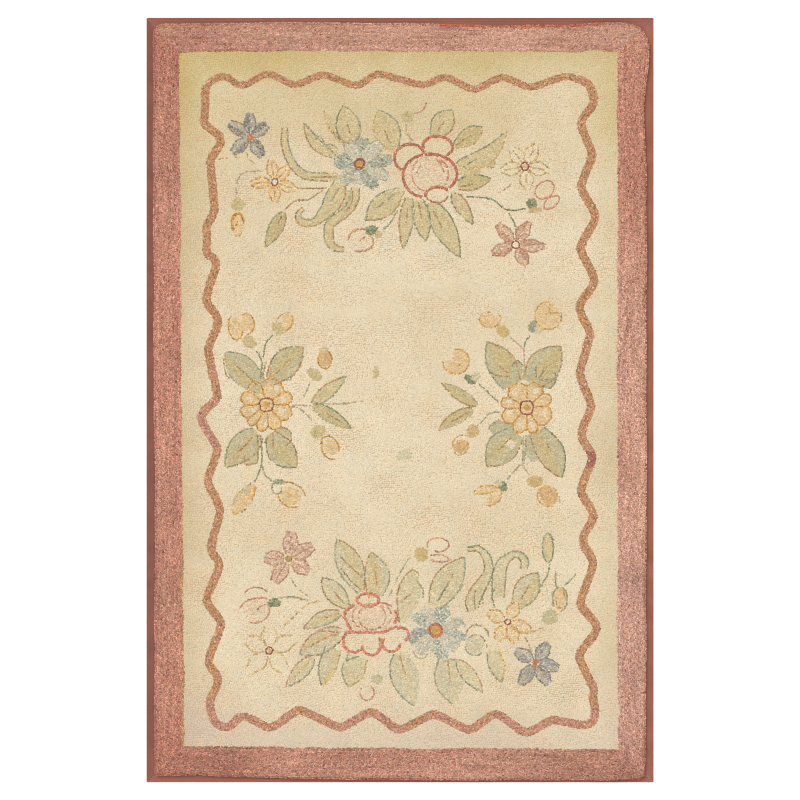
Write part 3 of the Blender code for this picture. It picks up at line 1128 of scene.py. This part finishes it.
def border_block(side, edge, field):
    """The loops of one border, whose rows run along the rug's side."""
    upright = side < 2
    reach = BORDER_REACH[1] if upright else BORDER_REACH[0]
    width = abs(float(edge(0.0) - field(np.array(0.0))))
    rows, across, along = grid_rows(0, width, -reach, reach)
    outer, inner = edge(along), field(along)
    place = outer + (inner - outer) * across
    p = np.stack([place, along] if upright else [along, place], 1)
    p = p + random.normal(scale=JITTER * 0.7, size=p.shape)
    d = depths(p)
    keep = (np.argmin(d, axis=0) == side) & (d[side] < 1.0)
    angle = np.full(keep.sum(), math.pi / 2 if upright else 0.0)
    return p[keep], angle, np.full(keep.sum(), side), rows[keep] + 100 * side


def field_block():
    """The loops of the cream field, in rows that drift up and down."""
    warp_x, warp_y = Noise(0.075), Noise(0.11, 0.06)
    wide, tall = FIELD_REACH
    rows, across, along = grid_rows(-tall, tall, -wide, wide)
    p = np.stack([along, -tall + 2 * tall * across], 1)
    drift = 0.0060
    near = 0.002
    rise = warp_y(p[:, 0] + near, p[:, 1]) - warp_y(p[:, 0] - near, p[:, 1])
    p = p + np.stack([0.004 * warp_x(p[:, 0], p[:, 1]), drift * warp_y(p[:, 0], p[:, 1])], 1)
    p = p + random.normal(scale=JITTER, size=p.shape)
    keep = np.all(depths(p) >= 1.0, axis=0)
    angle = np.arctan(rise[keep] * drift / (2 * near))
    return p[keep], angle, np.full(keep.sum(), FIELD), rows[keep] + 1000


sides = (
    (left_edge, field_left),
    (right_edge, field_right),
    (low_edge, field_low),
    (top_edge, field_top),
)
blocks = [border_block(side, edge, field) for side, (edge, field) in enumerate(sides)]
blocks.append(field_block())
spots, angles, kinds, row_ids = (np.concatenate([b[n] for b in blocks]) for n in range(4))
rim_distance = nearest(rim_tree, spots)[1]
keep = inside(spots, rim) & (rim_distance > RIM_CLEARANCE)
ground = (spots, angles, kinds, row_ids, rim_distance)
spots, angles, kinds, row_ids, rim_distance = (a[keep] for a in ground)

# The lines' own loops. The first line hooked keeps its place.
CELL = 0.001
CELLS = (1260, 1880)
taken = np.zeros(CELLS, bool)
disc = np.array([(i, j) for i in range(-3, 4) for j in range(-3, 4) if math.hypot(i, j) <= 2.3])


def cell_of(points):
    return np.clip(((points + (0.63, 0.94)) / CELL).astype(int), 4, (CELLS[0] - 5, CELLS[1] - 5))


def hooking_order(drawn):
    return -drawn[1] if drawn[0] != "wave" else 0


line_spots, line_angles, line_yarns, guide = [], [], [], []
for yarn, rows, points, closed, gaps in sorted(drawn_lines, key=hooking_order):
    fine, fine_angle = resample(smooth(points, closed), 0.0012)
    placed = []
    for n in range(rows):
        offset = (n - (rows - 1) / 2) * ROW * 0.97
        shifted = fine + offset * np.stack([-np.sin(fine_angle), np.cos(fine_angle)], 1)
        if closed:
            shifted = np.concatenate([shifted, shifted[:1]])
        p, a = resample(shifted, STEP * 0.86)
        here = cell_of(p)
        free = ~taken[here[:, 0], here[:, 1]] & (random.random(len(p)) >= gaps)
        line_spots.append(p[free])
        line_angles.append(a[free])
        line_yarns += [yarn] * int(free.sum())
        placed.append(p[free])
        guide.append(resample(shifted, 0.0015))
    for p in placed:
        here = cell_of(p)[:, None] + disc[None]
        taken[here[..., 0], here[..., 1]] = True
line_spots, line_angles = np.concatenate(line_spots), np.concatenate(line_angles)
line_spots = line_spots + random.normal(scale=JITTER, size=line_spots.shape)
guide_points = np.concatenate([g[0] for g in guide])
guide_angles = np.concatenate([g[1] for g in guide])

# The ground's loops make room for the lines.
near_distance = nearest(tree_of(line_spots), spots)[1]
guide_index, guide_distance = nearest(tree_of(guide_points), spots)
crowded = near_distance < LINE_ROOM
away = spots - guide_points[guide_index]
length = np.maximum(np.linalg.norm(away, axis=1), 1e-6)
drop = crowded & (guide_distance < ROW * 0.5)
push = crowded & ~drop & (guide_distance < ROW)
spots[push] += (away[push] / length[push, None]) * (ROW * 0.96 - guide_distance[push])[:, None]
angles[push] = guide_angles[guide_index[push]]
ground = (spots, angles, kinds, row_ids, rim_distance)
spots, angles, kinds, row_ids, rim_distance = (a[~drop] for a in ground)

# The loops' colours: first the cream field with its soil, then the filled shapes.
tone = {name: linear(c) for name, c in YARNS.items()}
x, y = spots[:, 0], spots[:, 1]
colours = np.tile(tone["cream"], (len(spots), 1))
soil_top = np.clip((y - 0.30) / 0.55, 0, 1)
soil_low = np.clip((-0.60 - y) / 0.20, 0, 1)
# The edges' soil, on the left, the right, the bottom and the top.
EDGE_SOIL = np.array([0.19, 0.10, 0.05, 0.12])
edge_strip = 1 - np.clip((depths(spots) - 1.0) / 1.3, 0, 1)
soil = 0.115 * soil_top + 0.060 * soil_low + (EDGE_SOIL[:, None] * edge_strip).max(0)
soil -= 0.03 * np.exp(-(x**2 + (y + 0.06) ** 2) / 0.12**2)
soil += 0.018 * Noise(0.16)(x, y) + 0.014 * Noise(0.05)(x, y)
blue_loss = 1.55 + 0.6 * soil_top - 0.9 * soil_low
colours *= np.stack([1 - soil * 0.80, 1 - soil * 1.05, 1 - soil * blue_loss], 1)
cast = Noise(0.03)(x, y)
colours *= 1 + np.stack([0.006 * cast, -0.002 * cast, -0.012 * cast], 1)
rough = np.zeros(len(spots))
for yarn, polygon in drawn_areas:
    filled = inside(spots, polygon)
    colours[filled] = tone[yarn]
    rough[filled] = ROUGH.get(yarn, USUAL_ROUGH)

# The borders: dusty rose with streaks along the rows, pinker at the top and the right.
border = kinds < FIELD
row_shift = weather.normal(size=2000)[row_ids]
along_border = np.where(kinds < 2, y, x)
streak = 0.75 * Noise(0.06, 0.0045)(along_border, row_ids * 0.0045)
streak += 0.60 * Noise(0.13)(x, y) + 0.25 * row_shift
depth_now = depths(spots).min(0)
streak -= 0.9 * np.exp(-((depth_now / 0.10) ** 2))
mix = np.clip(0.20 - 0.20 * streak, 0, 1)[:, None]
rose = tone["rose"] * (1 - mix) + tone["rose_deep"] * mix
rose *= (1 + np.clip(0.045 * streak, -0.1, 0.12))[:, None]
tint = np.ones((len(spots), 3))
faded = np.clip((0.50 - y) / 0.25, 0, 1)[:, None]
low_right = np.clip((-0.25 - y) / 0.15, 0, 1)[:, None]
tint[kinds == 1] = ((1 + faded * (0.12, 0.30, 0.36)) * (1 - low_right * (0.08, 0.06, 0.05)))[kinds == 1]
tint[kinds == 3] = (1.02, 1.17, 1.20)
reddish = np.clip(x / 0.5, 0, 1)[:, None]
tint[kinds == 2] = ((0.94, 0.98, 1.0) + reddish * (0.01, 0.07, 0.08))[kinds == 2]
# The pile between its loops is deeper in the border, which this makes up for.
BORDER_LIFT = np.array([1.09, 1.11, 1.12])
rose *= tint * BORDER_LIFT
# Bands of the left and right borders that are lighter or darker: the side, middle, reach and change.
BANDS = [
    (0, 0.53, 0.04, -0.11), (0, 0.24, 0.08, 0.11), (0, -0.27, 0.03, -0.08), (0, -0.48, 0.07, -0.18),
    (1, 0.80, 0.06, 0.11), (1, 0.50, 0.04, -0.08), (1, 0.36, 0.04, 0.08), (1, -0.13, 0.04, 0.13),
    (1, -0.43, 0.04, -0.18),
]
for side, middle, reach, change in BANDS:
    band = change * np.exp(-(((y - middle) / reach) ** 2)) * (kinds == side)
    rose *= 1 + band[:, None]
# Three corners of the border are darker and redder: the place, reach and change of each.
DARK_CORNERS = [(-0.56, -0.89, 0.17, 0.29), (0.56, -0.89, 0.14, 0.24), (-0.50, 0.88, 0.13, 0.25)]
for corner_x, corner_y, reach, change in DARK_CORNERS:
    apart = np.hypot(x - corner_x, y - corner_y)
    rose *= 1 - change * np.exp(-((apart / reach) ** 2))[:, None] * (0.6, 1.0, 1.0)
colours[border] = rose[border]
coral_edge = (kinds == 3) & (rim_distance < 0.0072) & (x > 40 * SQUARE) & (x < 205 * SQUARE)
colours[coral_edge & (random.random(len(spots)) < 0.85)] = linear((186, 104, 82))
ochre_row = (kinds == 0) & (depth_now > 0.90) & (y < -0.30) & (random.random(len(spots)) < 0.75)
colours[ochre_row] = tone["ochre"]

# The lines' colours: the wave is pinker in places and has red and pink specks.
line_colours = np.array([tone[name] for name in line_yarns])
wave_here = np.array([name == "wave" for name in line_yarns])
lx, ly = line_spots[:, 0], line_spots[:, 1]
pink_left = np.exp(-(((ly + 35 * SQUARE) / 0.11) ** 2)) * (lx < -0.40)
pink_right = np.exp(-(((ly + 30 * SQUARE) / 0.06) ** 2)) * (lx > 0.40)
pink_low = 0.7 * np.clip((-0.70 - ly) / 0.05, 0, 1)
pinker = np.clip(pink_left + 0.6 * pink_right + pink_low + 0.3 * Noise(0.02)(lx, ly), 0, 1)[:, None]
line_colours[wave_here] = (line_colours * (1 - pinker) + tone["wave_pink"] * pinker)[wave_here]
red_patch = wave_here & (np.abs(lx - 191 * SQUARE) < 0.025) & (np.abs(ly + 59 * SQUARE) < 0.019)
line_colours[red_patch] = tone["wave_red"]
specks = wave_here & (random.random(len(lx)) < 0.10)
line_colours[specks] = line_colours[specks] * (0.92, 0.74, 0.76)


def heather(colour, spread, hue):
    """Single loops take the dye unevenly."""
    n = len(colour)
    lum = spread * np.clip(random.normal(size=n), -2.2, 2.2)
    tint = hue * random.normal(size=n)
    return colour * (1 + lum)[:, None] * (1 + np.stack([0.35 * tint, -0.05 * tint, -0.9 * tint], 1))


uneven = 0.03 + 0.17 * rough
colours = np.where(
    border[:, None], heather(colours, 0.10, 0.05), heather(colours, uneven, 0.015 + 0.03 * rough),
)
line_colours = heather(line_colours, np.where(wave_here, 0.12, 0.16), 0.04)
fleck = border & (random.random(len(spots)) < 0.02)
colours[fleck] *= (0.70, 0.54, 0.52)
ground_mottle = np.where(border, np.where(kinds == 3, 0.72, 0.95), 0.11 + 0.6 * rough)
mottle = np.concatenate([ground_mottle, np.where(wave_here, 0.9, 0.7)])

# The loops' places in the round: each stands on the bed, and leans outward near the rim.
all_spots = np.concatenate([spots, line_spots])
all_angles = np.concatenate([angles, line_angles])
all_colours = np.concatenate([colours, line_colours])
index, distance = nearest(rim_tree, all_spots)
outward = rim[index] - all_spots
outward /= np.maximum(np.linalg.norm(outward, axis=1), 1e-9)[:, None]
inner = all_spots - outward * np.clip(RUN_IN - distance, 0, None)[:, None]
crown = height_at(top_grid, inner[:, 0], inner[:, 1])
short = np.clip(RIM_RADIUS - distance, 0, RIM_RADIUS)
rise = np.sqrt(RIM_RADIUS**2 - short**2)
base = np.column_stack([all_spots, crown - BED_DEPTH - (RIM_RADIUS - rise)])
lean = np.arctan2(short, rise) * 0.8
up = np.column_stack([outward * np.sin(lean)[:, None], np.cos(lean)])
up[:, :2] += random.normal(size=(len(up), 2)) * (0.03 + 0.15 * mottle)[:, None]
up /= np.linalg.norm(up, axis=1)[:, None]
turned = all_angles + random.normal(scale=0.30, size=len(all_angles))
along_row = np.column_stack([np.cos(turned), np.sin(turned), np.zeros(len(turned))])


def side_row(level):
    """A row of loops on the pile's side, at one of three heights."""
    p, a = resample(np.concatenate([rim, rim[:1]]), STEP * 0.95)
    out = np.stack([np.sin(a), -np.cos(a)], 1)
    if (out * p).sum() < 0:
        out = -out
    within = p - out * RUN_IN
    z_top = height_at(top_grid, within[:, 0], within[:, 1])
    z_low = height_at(under_grid, within[:, 0], within[:, 1]) + CLOTH_THICKNESS
    z = z_low + (z_top - 0.0018 - z_low) * (0.12 + 0.36 * level)
    foot = np.column_stack([p - out * 0.0024, z])
    way_up = np.column_stack([out, np.full(len(p), 0.15 + 0.25 * level)])
    way_up /= np.linalg.norm(way_up, axis=1)[:, None]
    colour = np.tile(tone["rose_deep"] * 0.8 + tone["rose"] * 0.2, (len(p), 1))
    # The bottom edge's side rows are darker and redder: partly a deeper rose-red yarn, partly painted
    # shade.
    bottom_side_painted_shade = p[:, 1] < -0.86
    colour[bottom_side_painted_shade] = tone["rose_red"] * 0.5 + tone["rose_deep"] * 0.5
    along = np.column_stack([np.cos(a), np.sin(a), np.zeros(len(p))])
    return foot, way_up, along, heather(colour, 0.12, 0.04), np.ones(len(p))


side_rows = [side_row(level) for level in range(3)]
base = np.concatenate([base, *(s[0] for s in side_rows)])
up = np.concatenate([up, *(s[1] for s in side_rows)])
along_row = np.concatenate([along_row, *(s[2] for s in side_rows)])
all_colours = np.concatenate([all_colours, *(s[3] for s in side_rows)])
mottle = np.concatenate([mottle, *(s[4] for s in side_rows)])

# Each loop is a hump with a ridge along its row: four corners at its foot and two on its ridge.
across_row = np.cross(up, along_row)
across_row /= np.linalg.norm(across_row, axis=1)[:, None]
along_row = np.cross(across_row, up)
count = len(base)
long = STEP * 1.24 * random.normal(1, 0.10, count)
wide = ROW * 1.34 * random.normal(1, 0.10, count)
high = LOOP_HEIGHT * np.clip(random.normal(1, 0.10, count), 0.7, 1.16)
shape = np.array(
    [(-0.5, -0.5, 0), (0.5, -0.5, 0), (0.5, 0.5, 0), (-0.5, 0.5, 0), (-0.24, 0, 1), (0.24, 0, 1)],
)
faces = np.array([(0, 1, 5), (0, 5, 4), (2, 3, 4), (2, 4, 5), (3, 0, 4), (1, 2, 5)])
SHAPE_POINTS = len(shape)
vertices = (
    base[:, None]
    + shape[None, :, 0:1] * long[:, None, None] * along_row[:, None]
    + shape[None, :, 1:2] * wide[:, None, None] * across_row[:, None]
    + shape[None, :, 2:3] * high[:, None, None] * up[:, None]
)

# The wool's fibres: how fine they are, how much they mottle the colour, and how they catch the light.
FIBRE_SCALE = 620
FIBRE_CONTRAST = 1.8
FIBRE_BUMP = 0.30
FIBRE_DEPTH = 0.0004


def wool_material(name):
    """Wool: the loops' own colours, mottled as spun fibre is, more where the colour's alpha says so."""
    material = bpy.data.materials.new(name)
    material.use_nodes = True
    nodes, links = material.node_tree.nodes, material.node_tree.links
    shader = nodes["Principled BSDF"]
    shader.inputs["Roughness"].default_value = 0.95
    shader.inputs["Specular IOR Level"].default_value = 0.12
    colour = nodes.new("ShaderNodeAttribute")
    colour.attribute_name = "yarn"
    where = nodes.new("ShaderNodeTexCoord")
    fibre = nodes.new("ShaderNodeTexNoise")
    fibre.inputs["Scale"].default_value = FIBRE_SCALE
    fibre.inputs["Detail"].default_value = 2
    links.new(where.outputs["Object"], fibre.inputs["Vector"])
    centred = nodes.new("ShaderNodeMath")
    centred.operation = "SUBTRACT"
    links.new(fibre.outputs["Fac"], centred.inputs[0])
    centred.inputs[1].default_value = 0.5
    scaled = nodes.new("ShaderNodeMath")
    scaled.operation = "MULTIPLY"
    links.new(centred.outputs[0], scaled.inputs[0])
    links.new(colour.outputs["Alpha"], scaled.inputs[1])
    factor = nodes.new("ShaderNodeMath")
    factor.operation = "MULTIPLY_ADD"
    links.new(scaled.outputs[0], factor.inputs[0])
    factor.inputs[1].default_value = FIBRE_CONTRAST
    factor.inputs[2].default_value = 1.0
    blend = nodes.new("ShaderNodeVectorMath")
    blend.operation = "SCALE"
    links.new(colour.outputs["Color"], blend.inputs[0])
    links.new(factor.outputs[0], blend.inputs["Scale"])
    links.new(blend.outputs["Vector"], shader.inputs["Base Color"])
    bump = nodes.new("ShaderNodeBump")
    bump.inputs["Strength"].default_value = FIBRE_BUMP
    bump.inputs["Distance"].default_value = FIBRE_DEPTH
    links.new(fibre.outputs["Fac"], bump.inputs["Height"])
    links.new(bump.outputs["Normal"], shader.inputs["Normal"])
    return material


def mesh_object(name, points, faces, colours=None, material=None, soft=True):
    """A mesh from arrays, with a colour for each point."""
    mesh = bpy.data.meshes.new(name)
    mesh.vertices.add(len(points))
    mesh.vertices.foreach_set("co", np.asarray(points, np.float32).ravel())
    faces = np.asarray(faces, np.int32)
    mesh.loops.add(faces.size)
    mesh.loops.foreach_set("vertex_index", faces.ravel())
    mesh.polygons.add(len(faces))
    mesh.polygons.foreach_set("loop_start", np.arange(0, faces.size, faces.shape[1], dtype=np.int32))
    mesh.polygons.foreach_set("use_smooth", np.full(len(faces), soft))
    mesh.update(calc_edges=True)
    mesh.validate()
    if colours is not None:
        attribute = mesh.color_attributes.new("yarn", "FLOAT_COLOR", "POINT")
        rgba = np.ones((len(points), 4), np.float32)
        rgba[:, : colours.shape[1]] = np.clip(colours, 0, 1)
        attribute.data.foreach_set("color", rgba.ravel())
    if material is not None:
        mesh.materials.append(material)
    obj = bpy.data.objects.new(name, mesh)
    bpy.context.scene.collection.objects.link(obj)
    return obj


def map_from_above(obj):
    """A texture map that looks straight down, which suits a flat pile."""
    mesh = obj.data
    where = np.empty(len(mesh.vertices) * 3, np.float32)
    mesh.vertices.foreach_get("co", where)
    where = where.reshape(-1, 3)[:, :2]
    corner = np.empty(len(mesh.loops), np.int32)
    mesh.loops.foreach_get("vertex_index", corner)
    low, high = where.min(0), where.max(0)
    flat = 0.002 + 0.996 * (where - low) / (high - low)
    layer = mesh.uv_layers.new(name="OFBake")
    layer.uv.foreach_set("vector", flat[corner].astype(np.float32).ravel())


# The loops as pieces of the pile, in bands from the top of the rug to its bottom.
wool = wool_material("wool")
# Painted shade and highlight: each loop's feet are painted darker and its ridge a little lighter.
PAINTED_FOOT_SHADE_RIDGE_LIGHT = np.array([0.86, 0.86, 0.86, 0.86, 1.03, 1.03])
# The strands of a loop differ too, by this much where the mottle is full.
STRANDS = 0.32
order = np.argsort(-base[:, 1])
for n, part in enumerate(np.array_split(order, PIECES)):
    points = vertices[part].reshape(-1, 3)
    tris = (faces[None] + SHAPE_POINTS * np.arange(len(part))[:, None, None]).reshape(-1, 3)
    # Each point's painted shade or highlight, more where the mottle is full, then the strands' own dye.
    strands_and_painted_shade = 1 + (PAINTED_FOOT_SHADE_RIDGE_LIGHT - 1)[None] * (0.2 + 0.8 * mottle[part])[:, None]
    strands = np.clip(random.normal(size=strands_and_painted_shade.shape), -2.2, 2.2)
    strands_and_painted_shade *= 1 + STRANDS * mottle[part][:, None] * strands
    dyed = (all_colours[part] / GAIN)[:, None, :] * strands_and_painted_shade[:, :, None]
    grain = np.broadcast_to(mottle[part][:, None, None], (*dyed.shape[:2], 1))
    rgba = np.concatenate([dyed, grain], 2).reshape(-1, 4)
    obj = mesh_object(f"loops_{n + 1}", points, tris, rgba, wool)
    map_from_above(obj)
    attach(obj, "root")
    print(obj.name, len(tris), "triangles")
print("loops", count)

# The plain cloth's spots: how fine they are, and how much paler or darker.
CLOTH_SCALE = 500.0
CLOTH_SPREAD = 0.12


def cloth_material(name, colour):
    """A plain yarn that is paler and darker in small spots."""
    material = bpy.data.materials.new(name)
    material.use_nodes = True
    nodes, links = material.node_tree.nodes, material.node_tree.links
    shader = nodes["Principled BSDF"]
    shader.inputs["Roughness"].default_value = 0.95
    shader.inputs["Specular IOR Level"].default_value = 0.15
    where = nodes.new("ShaderNodeTexCoord")
    noise = nodes.new("ShaderNodeTexNoise")
    noise.inputs["Scale"].default_value = CLOTH_SCALE
    links.new(where.outputs["Object"], noise.inputs["Vector"])
    ramp = nodes.new("ShaderNodeValToRGB")
    c = linear(colour)
    ramp.color_ramp.elements[0].color = (*np.clip(c * (1 - CLOTH_SPREAD), 0, 1), 1)
    ramp.color_ramp.elements[1].color = (*np.clip(c * (1 + CLOTH_SPREAD), 0, 1), 1)
    links.new(noise.outputs["Fac"], ramp.inputs["Fac"])
    links.new(ramp.outputs["Color"], shader.inputs["Base Color"])
    return material


def inward(points, amount):
    """Points drawn in from the rim where they are nearer to it than amount."""
    i, dist = nearest(rim_tree, points[:, :2])
    is_in = inside(points[:, :2], rim)
    away = points[:, :2] - rim[i]
    away /= np.maximum(np.linalg.norm(away, axis=1), 1e-9)[:, None]
    middle_way = -points[:, :2] / np.linalg.norm(points[:, :2], axis=1)[:, None]
    away = np.where((dist < 0.0004)[:, None], middle_way, np.where(is_in[:, None], away, -away))
    need = np.clip(amount - np.where(is_in, dist, -dist), 0, None)
    moved = points.copy()
    moved[:, :2] += away * need[:, None]
    return moved


# The bed that fills the pile between the loops' feet, and the ground cloth under it.
bed_points = inward(cad_points, 0.0016)
safe = inward(cad_points, RUN_IN)
z_under = height_at(under_grid, safe[:, 0], safe[:, 1])
z_top = height_at(top_grid, safe[:, 0], safe[:, 1])
is_top = bed_points[:, 2] > (z_under + z_top) / 2
bed_top = np.minimum(z_top - BED_DEPTH + 0.0002, bed_points[:, 2] - 0.0018)
bed_points[:, 2] = np.where(is_top, bed_top, z_under + CLOTH_THICKNESS * 0.9)
# The bed's colour includes painted shade for the gaps between the loops' feet.
bed = mesh_object(
    "loop_bed", bed_points, cad_faces, None, cloth_material("loop_bed", BED_TONE_WITH_PAINTED_SHADE), soft=False,
)
under_faces = [f for f, p in zip(cad_faces, cad_rug.data.polygons) if p.normal.z < -0.4]
cloth = mesh_object(
    "ground_cloth", cad_points, under_faces, None, cloth_material("ground_cloth", CLOTH_TONE),
)
thick = cloth.modifiers.new("thickness", "SOLIDIFY")
thick.thickness = CLOTH_THICKNESS
thick.offset = -1.0
for obj, slot in ((bed, "wool_loops"), (cloth, "ground_cloth")):
    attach(obj, "root")
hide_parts("rug")

# The tape: fine ribs run along it, and its colour changes a little across it; the row at 6.5 mm
# is a painted shadow line. Each row here is a place across it and the red, green and blue there.
TAPE_TONES_AND_SHADOW = np.array(
    [
        (0.0000, 142, 81, 69),
        (0.0040, 145, 88, 72),
        (0.0065, 136, 90, 73),
        # This darker row is a painted shadow line across the tape.
        (0.0115, 140, 91, 75),
        (0.0135, 149, 92, 79),
        (0.0200, 140, 88, 76),
        (0.0480, 140, 88, 76),
    ]
)
STATIONS = 90
RIB = 0.00012


def tape_profile(thickness):
    """The tape's cross-section, from its outer edge inward and back underneath."""
    across = np.arange(0.001, TAPE_WIDTH - 0.0005, 0.001)
    ribs = [(w, thickness - (RIB if k % 2 else 0.0)) for k, w in enumerate(across)]
    outer = [(0.0, 0.0003), (0.0, 0.0009), (0.0002, thickness)]
    inner = [(TAPE_WIDTH - 0.0002, thickness), (TAPE_WIDTH, 0.0009), (TAPE_WIDTH, 0.0003)]
    return np.array([*outer, *ribs, *inner, (TAPE_WIDTH - 0.0005, 0.0), (0.0005, 0.0)])


def make_tape(name, axis, sign, tone_here):
    """One length of tape, with mitred ends, and how long it is."""
    low, high = (np.array(c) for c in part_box(f"binding_{name}"))
    outer = high[axis] if sign > 0 else low[axis]
    profile = tape_profile(high[2] - low[2])
    start, end = low[1 - axis], high[1 - axis]
    n = len(profile)
    t = np.repeat(np.linspace(0, 1, STATIONS), n)
    w, z = np.tile(profile[:, 0], STATIONS), np.tile(profile[:, 1], STATIONS)
    along = start + w + (end - start - 2 * w) * t
    across = outer - sign * w
    points = np.stack([across, along, z] if axis == 0 else [along, across, z], 1)
    shade = np.stack([np.interp(w, TAPE_TONES_AND_SHADOW[:, 0], TAPE_TONES_AND_SHADOW[:, 1 + c]) for c in range(3)], 1)
    patch = 0.05 * Noise(0.09, 0.02)(points[:, 0] + axis, points[:, 1])
    dyed = tone_here * linear(shade) * (1 + patch)[:, None] / GAIN
    dyed = np.column_stack([dyed, np.full(len(dyed), 0.25)])
    tri = []
    for s in range(STATIONS - 1):
        for k in range(n):
            a, b = s * n + k, s * n + (k + 1) % n
            c, d = b + n, a + n
            tri += [(a, b, c), (a, c, d)]
    flipped = sign * (1 if axis == 0 else -1) < 0
    last = (STATIONS - 1) * n
    tri += [(0, k, k + 1) for k in range(1, n - 1)]
    tri += [(last, last + k + 1, last + k) for k in range(1, n - 1)]
    if flipped:
        tri = [t[::-1] for t in tri]
    tape = mesh_object(f"tape_{name}", points, tri, dyed, wool_material(f"tape_{name}"), soft=False)
    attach(tape, "root")
    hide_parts(f"binding_{name}")
    return tape, end - start


TAPES = (("left", 0, -1, 0.94), ("right", 0, 1, 1.20), ("top", 1, 1, 1.08), ("bottom", 1, -1, 1.28))
tapes = [make_tape(*which) for which in TAPES]

# The pale floor, which is staged and no part of the rug.
corners = [(x * FLOOR_REACH, y * FLOOR_REACH, FLOOR_Z) for x, y in ((-1, -1), (1, -1), (1, 1), (-1, 1))]
floor = mesh_object("floor", corners, [(0, 1, 2, 3)])
paper = bpy.data.materials.new("floor")
paper.use_nodes = True
paper_shader = paper.node_tree.nodes["Principled BSDF"]
paper_shader.inputs["Base Color"].default_value = (PAPER, PAPER, PAPER, 1)
paper_shader.inputs["Roughness"].default_value = 1.0
paper_shader.inputs["Specular IOR Level"].default_value = 0.0
floor.data.materials.append(paper)

# Light from above and from the upper left, and a camera straight above.
scene = bpy.context.scene
scene.view_settings.view_transform = "Standard"
scene.view_settings.look = "None"
scene.cycles.filter_width = PIXEL_FILTER
world = bpy.data.worlds.new("studio")
scene.world = world
world.use_nodes = True
world.node_tree.nodes["Background"].inputs["Color"].default_value = (1, 1, 1, 1)
world.node_tree.nodes["Background"].inputs["Strength"].default_value = SKY
lamp = bpy.data.lights.new("window", "SUN")
lamp.energy = SUN
lamp.angle = math.radians(SUN_DEGREES)
window = bpy.data.objects.new("window", lamp)
scene.collection.objects.link(window)
window.rotation_mode = "QUATERNION"
window.rotation_quaternion = Vector(TOWARDS_SUN).to_track_quat("Z", "Y")

camera_data = bpy.data.cameras.new("camera")
camera_data.lens, camera_data.sensor_width = LENS, SENSOR
camera = bpy.data.objects.new("camera", camera_data)
scene.collection.objects.link(camera)
camera.location = (0, 0, PICTURE_SIDE * LENS / SENSOR)
scene.camera = camera
